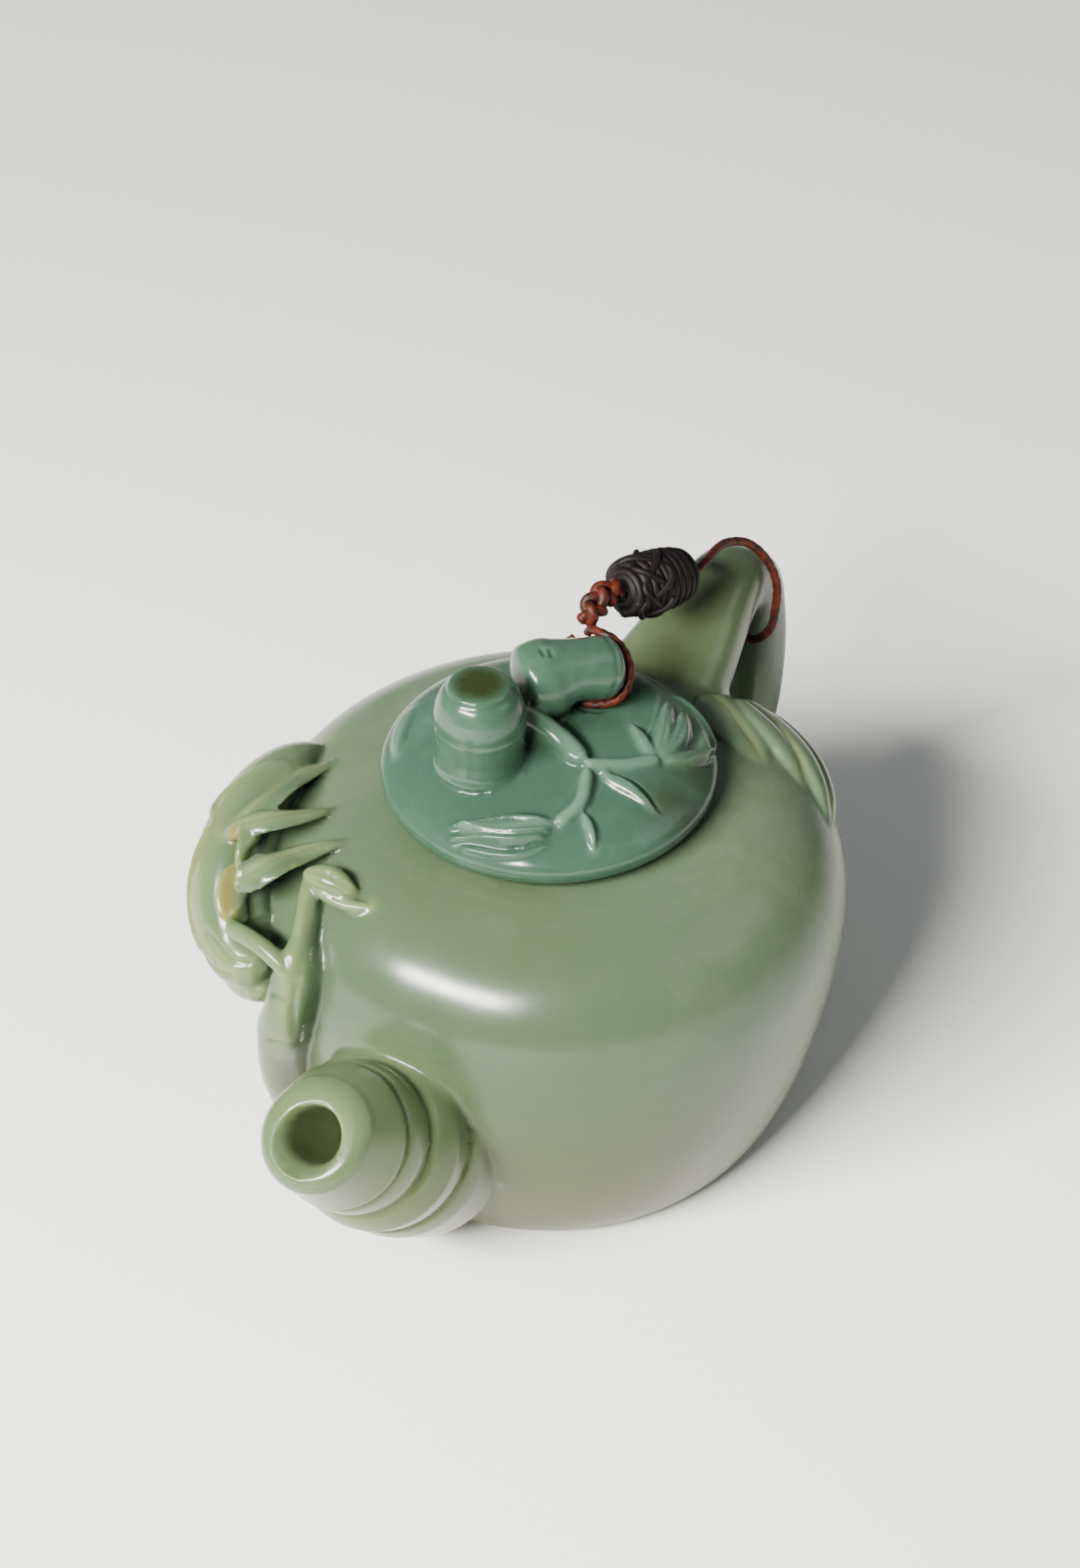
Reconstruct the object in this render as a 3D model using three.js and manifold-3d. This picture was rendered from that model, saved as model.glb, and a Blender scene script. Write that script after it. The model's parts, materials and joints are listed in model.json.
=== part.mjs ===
// A small teapot carved from jade: hollow pot with a bamboo spout, an ear-shaped handle and a carved
// branch, a lid with a bamboo-stump knob, and a braided tether that ties the lid to the handle.
// Millimetres, +Z up. The origin is the middle of the flat foot, -X is the spout, +X is the handle.
import * as THREE from 'three';
import { mergeVertices } from 'three/addons/utils/BufferGeometryUtils.js';
import Module from 'manifold-3d';

const wasm = await Module();
wasm.setup();

// Pot
const FOOT_RADIUS = 20.4;
const FOOT_CHAMFER = 0.7;
const BELLY_RADIUS = 28.3;
const BELLY_HEIGHT = 26;
const SEAT_HEIGHT = 38.2;
const SEAT_RADIUS = 15.2;
const MOUTH_RADIUS = 11.5;
const WALL = 3.4;
const FLOOR = 4.5;
const FLOOR_FILLET = 2;
const POT_SIDES = 34;
const HOLLOW_SIDES = 20;
const PAST_SEAT = 1;

// Spout, a stout bamboo shoot whose sheaths overlap like rings
const SPOUT_REACH = 42;
const SPOUT_TIP_HEIGHT = 28.5;
const SPOUT_SLOPE = 42;
const SPOUT_TIP_RADIUS = 5.2;
const SPOUT_BORE_RADIUS = 2.5;
const SPOUT_LIP_RADIUS = 3.0;
const SPOUT_LIP_DEPTH = 1.6;
const SPOUT_LIP_SLANT = 1.1;
const SPOUT_LIP_SLANT_DEPTH = 5;
const SPOUT_RING_PLACES = [6.8, 10.8, 16.4];
const SPOUT_RING_RADII = [7.0, 8.5, 9.1];
const SPOUT_RING_GROOVE = 0.45;
const SPOUT_RING_HALF_WIDTH = 0.5;
const SPOUT_RIM_ROUNDING = 1.2;
const SPOUT_FLARE = 0.5;
const SPOUT_SIDES = 20;
const BORE_SIDES = 14;
const BORE_OVERRUN = 6;

// Handle, an ear-shaped loop in the plane of the spout
const HANDLE_REACH = 41.0;
const HANDLE_TOP = 38.2;
const HANDLE_FOOT = 10.6;
const HANDLE_THICKNESS = 7.0;
const HANDLE_WIDTH = 7.0;
const HANDLE_ROOT_WIDTH = 13.0;
const HANDLE_HEEL_WIDTH = 9.6;
const HANDLE_ROOT_THICKENING = 0.8;
const HANDLE_ROOT_SHARE = 0.36;
const HANDLE_HEEL_SHARE = 0.7;

// Carving on the pot: relief is how far it stands proud of the body
const BRANCH_RELIEF = 6.5;
const CARVING_ROOT = 0.4;
const STEM_WIDTH = 4.6;
const STEM_TAPER = 0.42;
const STEM_NODE_SWELL = 0.12;
const TWIG_WIDTH = 2.1;
const LEAF_WIDTH = 4.2;
const LOBE_WIDTH = 8.0;
const BUD_WIDTH = 4.4;
const SLOT_WIDTH = 1;
const SLOT_DEPTH = 3.25;

// Lid
const LID_RADIUS = 15.7;
const LID_EDGE = 1.9;
const LID_RISE = 4.3;
const LID_CLEARANCE = 0.4;
const TOUCH_GAP = 0.3;
const RING_DEPTH = 3.4;
const RING_WALL = 2.2;
const RING_CHAMFER = 0.5;
const DISH_RISE = 1.2;
const LID_SIDES = 34;
const RING_SIDES = 20;

// Knob on the lid: an upright bamboo stump beside a bent bamboo arch
const STUMP_X = -6.3;
const STUMP_Y = 3.6;
const STUMP_RADIUS = 4.2;
const STUMP_HEIGHT = 9.6;
const STUMP_TOP_RADIUS = 2.9;
const STUMP_RING_DROP = 4.0;
const STUMP_RING_DEPTH = 0.35;
const STUMP_SUNK = 1.6;
const STUMP_FOOT_TUCK = 0.9;
const STUMP_SIDES = 16;
const ARCH_RADIUS = 2.9;
const ARCH_LEG_RADIUS = 2.1;
const ARCH_HEIGHT = 3.6;
const ARCH_BULB_RADIUS = 3.8;
const ARCH_BULB_PLACE = 0.36;
const ARCH_BULB_SPREAD = 0.12;
const ARCH_SIDES = 9;
const EYE_RADIUS = 0.85;

// Tether
const CORD_DIAMETER = 0.9;
const CORD_SIDES = 8;
const CORD_STEP = 2.6;
const PLAIT_RADIUS = 1.35;
const PLAIT_KNOTS = 4;
const PLAIT_WAIST = 0.22;
const PLAIT_STEPS = 12;
const BEAD_RADIUS = 3.1;
const BEAD_LENGTH = 8.4;
const BEAD_WINDINGS = 8;
const BEAD_WINDING_DEPTH = 0.28;
const BEAD_END_SHARE = 0.68;
const BEAD_SIDES = 10;

// The tether's routes. The knob's loop runs from the plait over the arch, through the eye and back.
const KNOB_LOOP = [
  [10.2, 1.7, 48.5], [9.6, 0.9, 49.5], [9.0, -0.3, 50.05], [8.95, -1.75, 49.85], [8.75, -3.05, 48.95],
  [8.15, -4.0, 47.6], [7.25, -4.15, 46.2], [6.1, -3.6, 45.3], [5.1, -2.3, 45.0], [4.7, -0.9, 45.0],
  [5.2, 0.9, 45.1], [6.5, 2.5, 45.3], [8.2, 3.5, 45.8], [9.6, 3.7, 46.6], [10.3, 3.1, 47.4],
];
const EYE_FIRST = 7;
const EYE_LAST = 11;
const PLAIT_ROUTE = [[10.85, 2.3, 48.85], [12.2, 2.4, 49.5], [14.8, 2.5, 49.6], [16.7, 2.2, 48.85]];
const BEAD_START = [17.2, 2.0, 48.6];
const BEAD_END = [25.1, -0.5, 46.6];
const HANDLE_LOOP = [
  [25.5, -1.2, 46.45], [27.6, -1.5, 46.6], [30.6, -1.2, 46.2], [33.5, -1.1, 45.1], [36.0, -1.9, 43.6],
  [37.35, -3.2, 41.4], [37.6, -4.4, 38.6], [37.15, -4.6, 35.6], [36.7, -4.3, 33.4], [36.2, -2.9, 31.9],
  [35.8, -1.2, 32.4], [35.5, 0.5, 33.2], [35.2, 2.5, 33.3], [34.8, 4.4, 34.2], [34.3, 5.1, 37.0],
  [33.2, 5.0, 40.1], [31.4, 4.1, 42.8], [28.9, 2.5, 45.1], [27.2, 1.1, 46.1], [25.95, 0.3, 46.3],
];

const UP = new THREE.Vector3(0, 0, 1);
const point = (x, y, z) => new THREE.Vector3(x, y, z);
const degrees = (angle) => THREE.MathUtils.degToRad(angle);

// A closed geometry as a solid: corners that share a place become one, and empty faces are dropped
function solid(geometry) {
  const bare = geometry.clone();
  bare.deleteAttribute('normal');
  bare.deleteAttribute('uv');
  const merged = mergeVertices(bare, 1e-4);
  const index = merged.index.array;
  const faces = [];
  for (let i = 0; i < index.length; i += 3) {
    const [a, b, c] = [index[i], index[i + 1], index[i + 2]];
    if (a !== b && b !== c && c !== a) faces.push(a, b, c);
  }
  const mesh = new wasm.Mesh({
    numProp: 3,
    vertProperties: new Float32Array(merged.attributes.position.array),
    triVerts: new Uint32Array(faces),
  });
  return new wasm.Manifold(mesh);
}

const join = (solids) => solids.reduce((whole, next) => whole.add(next));

function node(name, shape, material) {
  const mesh = shape.getMesh();
  const geometry = new THREE.BufferGeometry();
  geometry.setAttribute('position', new THREE.BufferAttribute(new Float32Array(mesh.vertProperties), 3));
  geometry.setIndex(new THREE.BufferAttribute(new Uint32Array(mesh.triVerts), 1));
  geometry.computeVertexNormals();
  const made = new THREE.Mesh(geometry, material);
  made.name = name;
  return made;
}

// A turned form about +Z from [radius, height] points that start and end on the axis
function turned(profile, sides) {
  const points = profile.map(([radius, height]) => new THREE.Vector2(radius, height));
  return new THREE.LatheGeometry(points, sides).rotateX(Math.PI / 2);
}

// A turned form whose own +Z is laid along a direction, from a starting point
function turnedAlong(profile, sides, start, direction) {
  const turn = new THREE.Quaternion().setFromUnitVectors(UP, direction.clone().normalize());
  return turned(profile, sides).applyQuaternion(turn).translate(start.x, start.y, start.z);
}

// A form that follows a route. route(t) gives its point, and two directions: side, across the form, and
// rise, through it. section(t) gives half the width and half the thickness, and is zero at both ends.
function sweep(route, section, sides, steps) {
  const geometry = new THREE.SphereGeometry(1, sides, steps);
  const places = geometry.attributes.position;
  for (let i = 0; i < places.count; i += 1) {
    const t = Math.acos(THREE.MathUtils.clamp(places.getY(i), -1, 1)) / Math.PI;
    const ring = Math.max(Math.sin(Math.PI * t), 1e-9);
    const { centre, side, rise } = route(t);
    const [halfWidth, halfThickness] = section(t);
    const place = centre.clone();
    place.addScaledVector(side, (places.getX(i) / ring) * halfWidth);
    place.addScaledVector(rise, (places.getZ(i) / ring) * halfThickness);
    places.setXYZ(i, place.x, place.y, place.z);
  }
  return geometry;
}

// Rounded ends for a section: 0 at the very end, 1 once past the given share of the length
const blunt = (t, share) => {
  const near = Math.min(t, 1 - t) / share;
  return near >= 1 ? 1 : Math.sqrt(1 - (1 - near) ** 2);
};

// A pointed leaf's outline: widest a third of the way along
const leafBreadth = (t) => Math.sin(Math.PI * t ** 0.7) ** 0.9;

// A free route through points in space, whose frame doesn't twist
function freeRoute(points, steps) {
  const curve = new THREE.CatmullRomCurve3(points, false, 'centripetal');
  const frames = curve.computeFrenetFrames(steps);
  return (t) => {
    const step = Math.round(t * steps);
    return { centre: curve.getPointAt(t), side: frames.normals[step], rise: frames.binormals[step] };
  };
}

// The pot's outside, as [radius, height] for a share of its outline from the foot up to the seat
const OUTLINE_STEPS = 200;
const outline = [];
for (let i = 0; i <= OUTLINE_STEPS; i += 1) {
  const height = SEAT_HEIGHT * Math.sin((Math.PI / 2) * (i / OUTLINE_STEPS));
  let radius;
  if (height < BELLY_HEIGHT) {
    const drop = 1 - height / BELLY_HEIGHT;
    radius = FOOT_RADIUS + (BELLY_RADIUS - FOOT_RADIUS) * (1 - drop ** 1.6) ** 0.61;
  } else {
    const climb = (height - BELLY_HEIGHT) / (SEAT_HEIGHT - BELLY_HEIGHT);
    radius = SEAT_RADIUS + (BELLY_RADIUS - SEAT_RADIUS) * Math.sqrt(Math.max(0, 1 - climb ** 2.2));
  }
  outline.push(point(radius, height, 0));
}
const travelled = [0];
for (let i = 1; i <= OUTLINE_STEPS; i += 1) {
  travelled.push(travelled[i - 1] + outline[i].distanceTo(outline[i - 1]));
}

// The place on the outline at a share of its length, and its outward normal
function onOutline(share) {
  const target = THREE.MathUtils.clamp(share, 0, 1) * travelled[OUTLINE_STEPS];
  let i = travelled.findIndex((length) => length >= target);
  i = THREE.MathUtils.clamp(i, 1, OUTLINE_STEPS);
  const part = (target - travelled[i - 1]) / (travelled[i] - travelled[i - 1]);
  const along = outline[i].clone().sub(outline[i - 1]).normalize();
  const place = outline[i - 1].clone().lerp(outline[i], part);
  return { radius: place.x, height: place.y, normal: point(along.y, -along.x, 0) };
}

// A place proud of the pot by a lift, from the angle round it and the share of its outline
function onPot(angle, share, lift) {
  const { radius, height, normal } = onOutline(share);
  const out = point(Math.cos(degrees(angle)), Math.sin(degrees(angle)), 0);
  const rise = out.clone().multiplyScalar(normal.x).addScaledVector(UP, normal.y);
  const centre = out.multiplyScalar(radius).addScaledVector(UP, height).addScaledVector(rise, lift);
  return { centre, rise };
}

// A place proud of the lid's dome by a lift
const LID_UNDER = SEAT_HEIGHT + TOUCH_GAP;
const LID_WIDEST = LID_UNDER + LID_EDGE;
function onLid(x, y, lift) {
  const out = Math.min(Math.hypot(x, y) / LID_RADIUS, 0.985);
  const height = LID_WIDEST + LID_RISE * Math.sqrt(1 - out ** 2);
  const rise = point(x / LID_RADIUS ** 2, y / LID_RADIUS ** 2, (height - LID_WIDEST) / LID_RISE ** 2);
  rise.normalize();
  return { centre: point(x, y, height).addScaledVector(rise, lift), rise };
}

// A route over a surface through [a, b, lift] points, where place(a, b, lift) lies on the surface
function surfaceRoute(place, points) {
  const curve = new THREE.CatmullRomCurve3(points.map((p) => point(...p)));
  const at = (t) => {
    const p = curve.getPoint(THREE.MathUtils.clamp(t, 0, 1));
    return place(p.x, p.y, p.z);
  };
  return (t) => {
    const { centre, rise } = at(t);
    const along = at(t + 0.01).centre.sub(at(t - 0.01).centre).normalize();
    const side = rise.clone().cross(along).normalize();
    return { centre, side, rise: along.clone().cross(side) };
  };
}

// Relief on a surface: its points are [a, b, crest], and it is solid from its crest down to its root, a
// little inside the surface. breadth(t) gives the share of the width at t.
function relief(place, points, width, breadth, sides, steps) {
  const crests = new THREE.CatmullRomCurve3(points.map(([, , crest]) => point(crest, 0, 0)));
  const route = surfaceRoute((a, b, crest) => place(a, b, (crest - CARVING_ROOT) / 2), points);
  const section = (t) => {
    const deep = (crests.getPoint(t).x + CARVING_ROOT) / 2;
    return [(width / 2) * breadth(t), deep * Math.min(1, 1.6 * breadth(t))];
  };
  return solid(sweep(route, section, sides, steps));
}

// On the pot a point is [angle, share of the outline, height], the last two in hundredths, and heights are
// shares of how proud the branch stands
const onPotShares = (angle, share, lift) => onPot(angle, share / 100, lift);
const potPoints = (points) => points.map(([angle, share, high]) => [angle, share, (high / 100) * BRANCH_RELIEF]);
const potRoute = (points) => surfaceRoute(onPotShares, potPoints(points));

const leafOn = (place, points, width) => relief(place, points, width, leafBreadth, 5, 7);

const twigOn = (place, points, width) => relief(place, points, width, (t) => blunt(t, 0.15), 6, 7);

// Pot: body, with a chamfered foot and a flat seat for the lid
function potBody() {
  const shares = [0.04, 0.12, 0.22, 0.32, 0.42, 0.5, 0.57, 0.64, 0.71, 0.78, 0.85, 0.92, 1];
  const profile = [[0, 0], [FOOT_RADIUS - FOOT_CHAMFER, 0], [FOOT_RADIUS, FOOT_CHAMFER]];
  for (const share of shares) {
    const { radius, height } = onOutline(share);
    if (height > FOOT_CHAMFER) profile.push([radius, height]);
  }
  profile.push([0, SEAT_HEIGHT]);
  return solid(turned(profile, POT_SIDES));
}

// The hollow: the outside set in by the wall, open through the mouth
function potHollow() {
  const profile = [];
  for (const share of [0.12, 0.24, 0.38, 0.5, 0.6, 0.7, 0.8, 0.9]) {
    const { radius, height, normal } = onOutline(share);
    const inside = [radius - WALL * normal.x, height - WALL * normal.y];
    if (inside[1] > FLOOR + FLOOR_FILLET / 4 && inside[0] > MOUTH_RADIUS) profile.push(inside);
  }
  const neck = SEAT_HEIGHT - WALL;
  const corner = profile[0][0];
  const above = SEAT_HEIGHT + PAST_SEAT;
  profile.unshift([0, FLOOR], [corner - FLOOR_FILLET, FLOOR]);
  profile.push([MOUTH_RADIUS, neck], [MOUTH_RADIUS, above], [0, above]);
  return solid(turned(profile, HOLLOW_SIDES));
}

// Spout, measured from its tip back into the pot
const spoutIn = point(Math.cos(degrees(SPOUT_SLOPE)), 0, -Math.sin(degrees(SPOUT_SLOPE)));
const spoutTip = point(-SPOUT_REACH, 0, SPOUT_TIP_HEIGHT);

// The lower lip reaches out past the upper one; here, before it is laid down, +X is the spout's underside
function slanted(geometry) {
  const places = geometry.attributes.position;
  for (let i = 0; i < places.count; i += 1) {
    const fade = 1 - THREE.MathUtils.smoothstep(places.getZ(i), 0, SPOUT_LIP_SLANT_DEPTH);
    const reach = SPOUT_LIP_SLANT * (places.getX(i) / SPOUT_TIP_RADIUS) * fade;
    places.setZ(i, places.getZ(i) - reach);
  }
  return geometry;
}

function alongSpout(geometry) {
  const turn = new THREE.Quaternion().setFromUnitVectors(UP, spoutIn);
  return geometry.applyQuaternion(turn).translate(spoutTip.x, spoutTip.y, spoutTip.z);
}

function spout() {
  const [firstRing] = SPOUT_RING_PLACES;
  const tip = SPOUT_TIP_RADIUS;
  const round = SPOUT_RIM_ROUNDING;
  const profile = [[0, 0], [tip - 1.7 * round, 0], [tip - 0.7 * round, 0.25 * round], [tip, round]];
  profile.push([tip + SPOUT_FLARE, 0.45 * firstRing]);
  SPOUT_RING_PLACES.forEach((place, i) => {
    const before = i === 0 ? SPOUT_RING_RADII[0] - 0.4 : SPOUT_RING_RADII[i - 1];
    const radius = SPOUT_RING_RADII[i];
    profile.push([before, place - SPOUT_RING_HALF_WIDTH], [before - SPOUT_RING_GROOVE, place]);
    profile.push([before + 0.4 * (radius - before), place + SPOUT_RING_HALF_WIDTH]);
    const next = SPOUT_RING_PLACES[i + 1] ?? place + 5;
    profile.push([radius, (place + next) / 2]);
  });
  const root = (SPOUT_REACH - 0.85 * BELLY_RADIUS) / spoutIn.x;
  const widest = SPOUT_RING_RADII.at(-1);
  profile.push([widest, root], [0, root]);
  return solid(alongSpout(slanted(turned(profile, SPOUT_SIDES))));
}

// The bore runs from the lip into the hollow
function spoutBore() {
  const depth = (SPOUT_REACH - BELLY_RADIUS + WALL) / spoutIn.x + BORE_OVERRUN;
  const flare = SPOUT_LIP_RADIUS - SPOUT_BORE_RADIUS;
  const before = -SPOUT_LIP_SLANT - SPOUT_LIP_DEPTH;
  const profile = [
    [0, before],
    [SPOUT_LIP_RADIUS + flare, before],
    [SPOUT_LIP_RADIUS, 0.2 * SPOUT_LIP_DEPTH],
    [SPOUT_BORE_RADIUS + 0.3 * flare, 0.6 * SPOUT_LIP_DEPTH],
    [SPOUT_BORE_RADIUS, SPOUT_LIP_DEPTH],
    [SPOUT_BORE_RADIUS, depth],
    [0, depth],
  ];
  return solid(alongSpout(turned(profile, BORE_SIDES)));
}

// Handle: a flat band that rises like a ramp from the shoulder, narrows over its crest and comes home low
function handle() {
  const out = HANDLE_REACH;
  const drop = HANDLE_TOP - HANDLE_FOOT;
  const line = new THREE.CatmullRomCurve3([
    point(BELLY_RADIUS - 10, 0, HANDLE_TOP - 5.2),
    point(BELLY_RADIUS - 4, 0, HANDLE_TOP - 3.2),
    point(out - 11, 0, HANDLE_TOP - 1.1),
    point(out - 5.6, 0, HANDLE_TOP),
    point(out - 2, 0, HANDLE_TOP - 0.07 * drop),
    point(out - 0.4, 0, HANDLE_TOP - 0.25 * drop),
    point(out, 0, HANDLE_TOP - 0.48 * drop),
    point(out - 1.6, 0, HANDLE_TOP - 0.7 * drop),
    point(out - 6, 0, HANDLE_TOP - 0.89 * drop),
    point(out - 12.5, 0, HANDLE_FOOT),
    point(BELLY_RADIUS - 7, 0, HANDLE_FOOT - 0.4),
  ]);
  const across = point(0, 1, 0);
  const route = (t) => {
    const along = line.getTangent(t);
    return { centre: line.getPoint(t), side: across, rise: along.cross(across).normalize() };
  };
  const section = (t) => {
    const root = THREE.MathUtils.smoothstep(HANDLE_ROOT_SHARE - t, 0, HANDLE_ROOT_SHARE);
    const heel = THREE.MathUtils.smoothstep(t, HANDLE_HEEL_SHARE, 1);
    const width = HANDLE_WIDTH + (HANDLE_ROOT_WIDTH - HANDLE_WIDTH) * root;
    const end = t < 0.001 || t > 0.999 ? 0 : 1;
    const both = width + (HANDLE_HEEL_WIDTH - HANDLE_WIDTH) * heel;
    return [(end * both) / 2, (end * (HANDLE_THICKNESS + HANDLE_ROOT_THICKENING * root)) / 2];
  };
  return solid(sweep(route, section, 12, 22));
}

// The branch that climbs from beside the spout, with its bud, its free twig and a lobe that stands proud
function branch() {
  const stemBreadth = (t) => {
    const taper = THREE.MathUtils.lerp(1, STEM_TAPER, THREE.MathUtils.smoothstep(t, 0.48, 0.66));
    const nodes = 1 + STEM_NODE_SWELL * Math.exp(-(((t - 0.3) / 0.05) ** 2));
    return taper * nodes * blunt(t, 0.08);
  };
  const stem = relief(
    onPotShares,
    potPoints([[145, 18, 50], [149, 34, 58], [153.5, 50, 58], [157.5, 61, 58], [157.5, 69.5, 54], [154, 75.4, 46],
      [149.5, 79.2, 38], [145.5, 81.8, 28]]),
    STEM_WIDTH, stemBreadth, 7, 16,
  );
  const lobe = relief(
    onPotShares,
    potPoints([[97, 80, 2], [105, 78, 44], [114, 76, 72], [123, 72.6, 90], [130.5, 68.4, 100], [136, 64.2, 98],
      [142, 61.6, 88], [150, 62.6, 62]]),
    LOBE_WIDTH, (t) => blunt(t, 0.25), 8, 16,
  );
  const bud = relief(
    onPotShares,
    potPoints([[127, 51, 42], [134.5, 53, 62], [142.5, 55.5, 64], [151, 58.5, 50]]),
    BUD_WIDTH, (t) => blunt(t, 0.4), 7, 7,
  );
  const free = solid(sweep(
    potRoute([[160, 67.5, 42], [155, 69.2, 58], [150, 69.2, 70], [145.5, 68.4, 77], [141, 69.6, 80],
      [138, 72.4, 78], [136, 75.4, 74], [132.5, 77.6, 64], [127, 78.5, 50]]),
    (t) => [(TWIG_WIDTH / 2) * blunt(t, 0.12), (TWIG_WIDTH / 2) * blunt(t, 0.12)],
    6, 13,
  ));
  const slot = solid(sweep(
    potRoute([[131, 75, 92], [137, 73, 101], [141.5, 69.8, 100]]),
    (t) => [(SLOT_WIDTH / 2) * blunt(t, 0.4), (SLOT_DEPTH / 2) * blunt(t, 0.4)],
    6, 8,
  ));
  return join([lobe.subtract(slot), stem, bud, free]);
}

// Bamboo leaves: each is [base, middle, tip] and its width as a share of a plain leaf's
function potLeaves() {
  const beside = [
    [[[147, 81.4, 34], [151.5, 83.7, 28], [158, 85, 4]], 0.6],
    [[[150.5, 80.2, 36], [158, 81.5, 26], [165.5, 86.2, 2]], 0.5],
    [[[138.5, 73, 76], [140, 80.5, 44], [141.5, 91.5, 2]], 1.2],
    [[[122.5, 70.5, 88], [128, 79.2, 54], [127.5, 91, 2]], 1],
    [[[115.5, 70.5, 74], [118.5, 80.5, 42], [106, 89.7, 2]], 1.5],
  ];
  const overShoulder = [
    [[[-16, 88, 14], [-33, 90, 18], [-52, 88, 3]], 1.6],
    [[[-20, 83, 22], [-38, 81, 28], [-55, 79, 3]], 1.35],
    [[[-24, 78, 24], [-42, 75, 34], [-62, 72, 2]], 1.45],
    [[[-22, 73, 22], [-34, 65, 30], [-43, 55, 2]], 1.3],
  ];
  return join([...beside, ...overShoulder].map(([points, wide]) =>
    leafOn(onPotShares, potPoints(points), LEAF_WIDTH * wide)));
}

// Lid: a thick pebble-like plate over a locating ring that drops into the mouth
function lidPlate() {
  const profile = [[0, LID_UNDER], [LID_RADIUS - LID_EDGE, LID_UNDER]];
  for (const angle of [-55, -25, 0]) {
    const out = LID_EDGE * Math.cos(degrees(angle));
    profile.push([LID_RADIUS - LID_EDGE + out, LID_WIDEST + LID_EDGE * Math.sin(degrees(angle))]);
  }
  for (const angle of [14, 30, 48, 68]) {
    profile.push([LID_RADIUS * Math.cos(degrees(angle)), LID_WIDEST + LID_RISE * Math.sin(degrees(angle))]);
  }
  profile.push([0, LID_WIDEST + LID_RISE]);
  const ringRadius = MOUTH_RADIUS - LID_CLEARANCE;
  const ringInside = ringRadius - RING_WALL;
  const low = LID_UNDER - RING_DEPTH;
  const ring = turned([[0, low], [ringRadius - RING_CHAMFER, low], [ringRadius, low + RING_CHAMFER],
    [ringRadius, LID_WIDEST], [0, LID_WIDEST]], RING_SIDES);
  const dish = turned([[0, low - RING_CHAMFER], [ringInside, low - RING_CHAMFER], [ringInside, LID_UNDER],
    [0, LID_UNDER + DISH_RISE]], RING_SIDES);
  return solid(turned(profile, LID_SIDES)).add(solid(ring)).subtract(solid(dish));
}

function stump() {
  const foot = onLid(STUMP_X, STUMP_Y, 0).centre.z;
  const base = foot - STUMP_SUNK;
  const top = foot + STUMP_HEIGHT - STUMP_FOOT_TUCK;
  const ring = top - STUMP_RING_DROP;
  const r = STUMP_RADIUS;
  const profile = [
    [0, base],
    [r - STUMP_FOOT_TUCK, base],
    [r - 0.6, base + 2.2],
    [r - 0.1, base + 3.6],
    [r, ring - 0.5],
    [r - STUMP_RING_DEPTH, ring],
    [r + 0.05, ring + 0.5],
    [r - 0.2, top - 1.7],
    [STUMP_TOP_RADIUS + 0.4, top - 0.5],
    [STUMP_TOP_RADIUS, top],
    [0, top + 0.2],
  ];
  return solid(turned(profile, STUMP_SIDES).translate(STUMP_X, STUMP_Y, 0));
}

// The arch: a level stretch with a swollen node, on a leg in front and a curved leg behind it
function arch() {
  const top = LID_WIDEST + LID_RISE + ARCH_HEIGHT;
  const rod = (points, radiusAt, rounding, steps) => {
    const section = (t) => [radiusAt(t) * blunt(t, rounding), radiusAt(t) * blunt(t, rounding)];
    return solid(sweep(freeRoute(points, steps), section, ARCH_SIDES, steps));
  };
  const bulb = (t) => Math.exp(-(((t - ARCH_BULB_PLACE) / ARCH_BULB_SPREAD) ** 2));
  const bar = rod(
    [point(0.3, 4.0, top - 0.7), point(2.6, 2.0, top - 0.2), point(4.2, 0.4, top + 0.2),
      point(5.8, -0.9, top - 0.1), point(8.2, -2.4, top - 1.0)],
    (t) => ARCH_RADIUS + (ARCH_BULB_RADIUS - ARCH_RADIUS) * bulb(t), 0.27, 14,
  );
  const front = rod(
    [point(2.7, 1.2, top - 7.2), point(2.6, 1.5, top - 3.5), point(2.7, 1.9, top - 0.4)],
    () => ARCH_LEG_RADIUS, 0.1, 6,
  );
  const back = rod(
    [point(6.4, -1.0, top - 0.9), point(8.2, -0.4, top - 2.2), point(9.8, 0.4, top - 4.4),
      point(10.4, 0.8, top - 7.0)],
    (t) => ARCH_RADIUS - (ARCH_RADIUS - ARCH_LEG_RADIUS) * t, 0.12, 8,
  );
  return join([bar, front, back]);
}

// The eye under the arch, through which the tether passes
function eye() {
  const steps = 7;
  const route = freeRoute(KNOB_LOOP.slice(EYE_FIRST, EYE_LAST + 1).map((p) => point(...p)), steps);
  const section = (t) => [EYE_RADIUS * blunt(t, 0.08), EYE_RADIUS * blunt(t, 0.08)];
  return solid(sweep(route, section, 8, steps));
}

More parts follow.
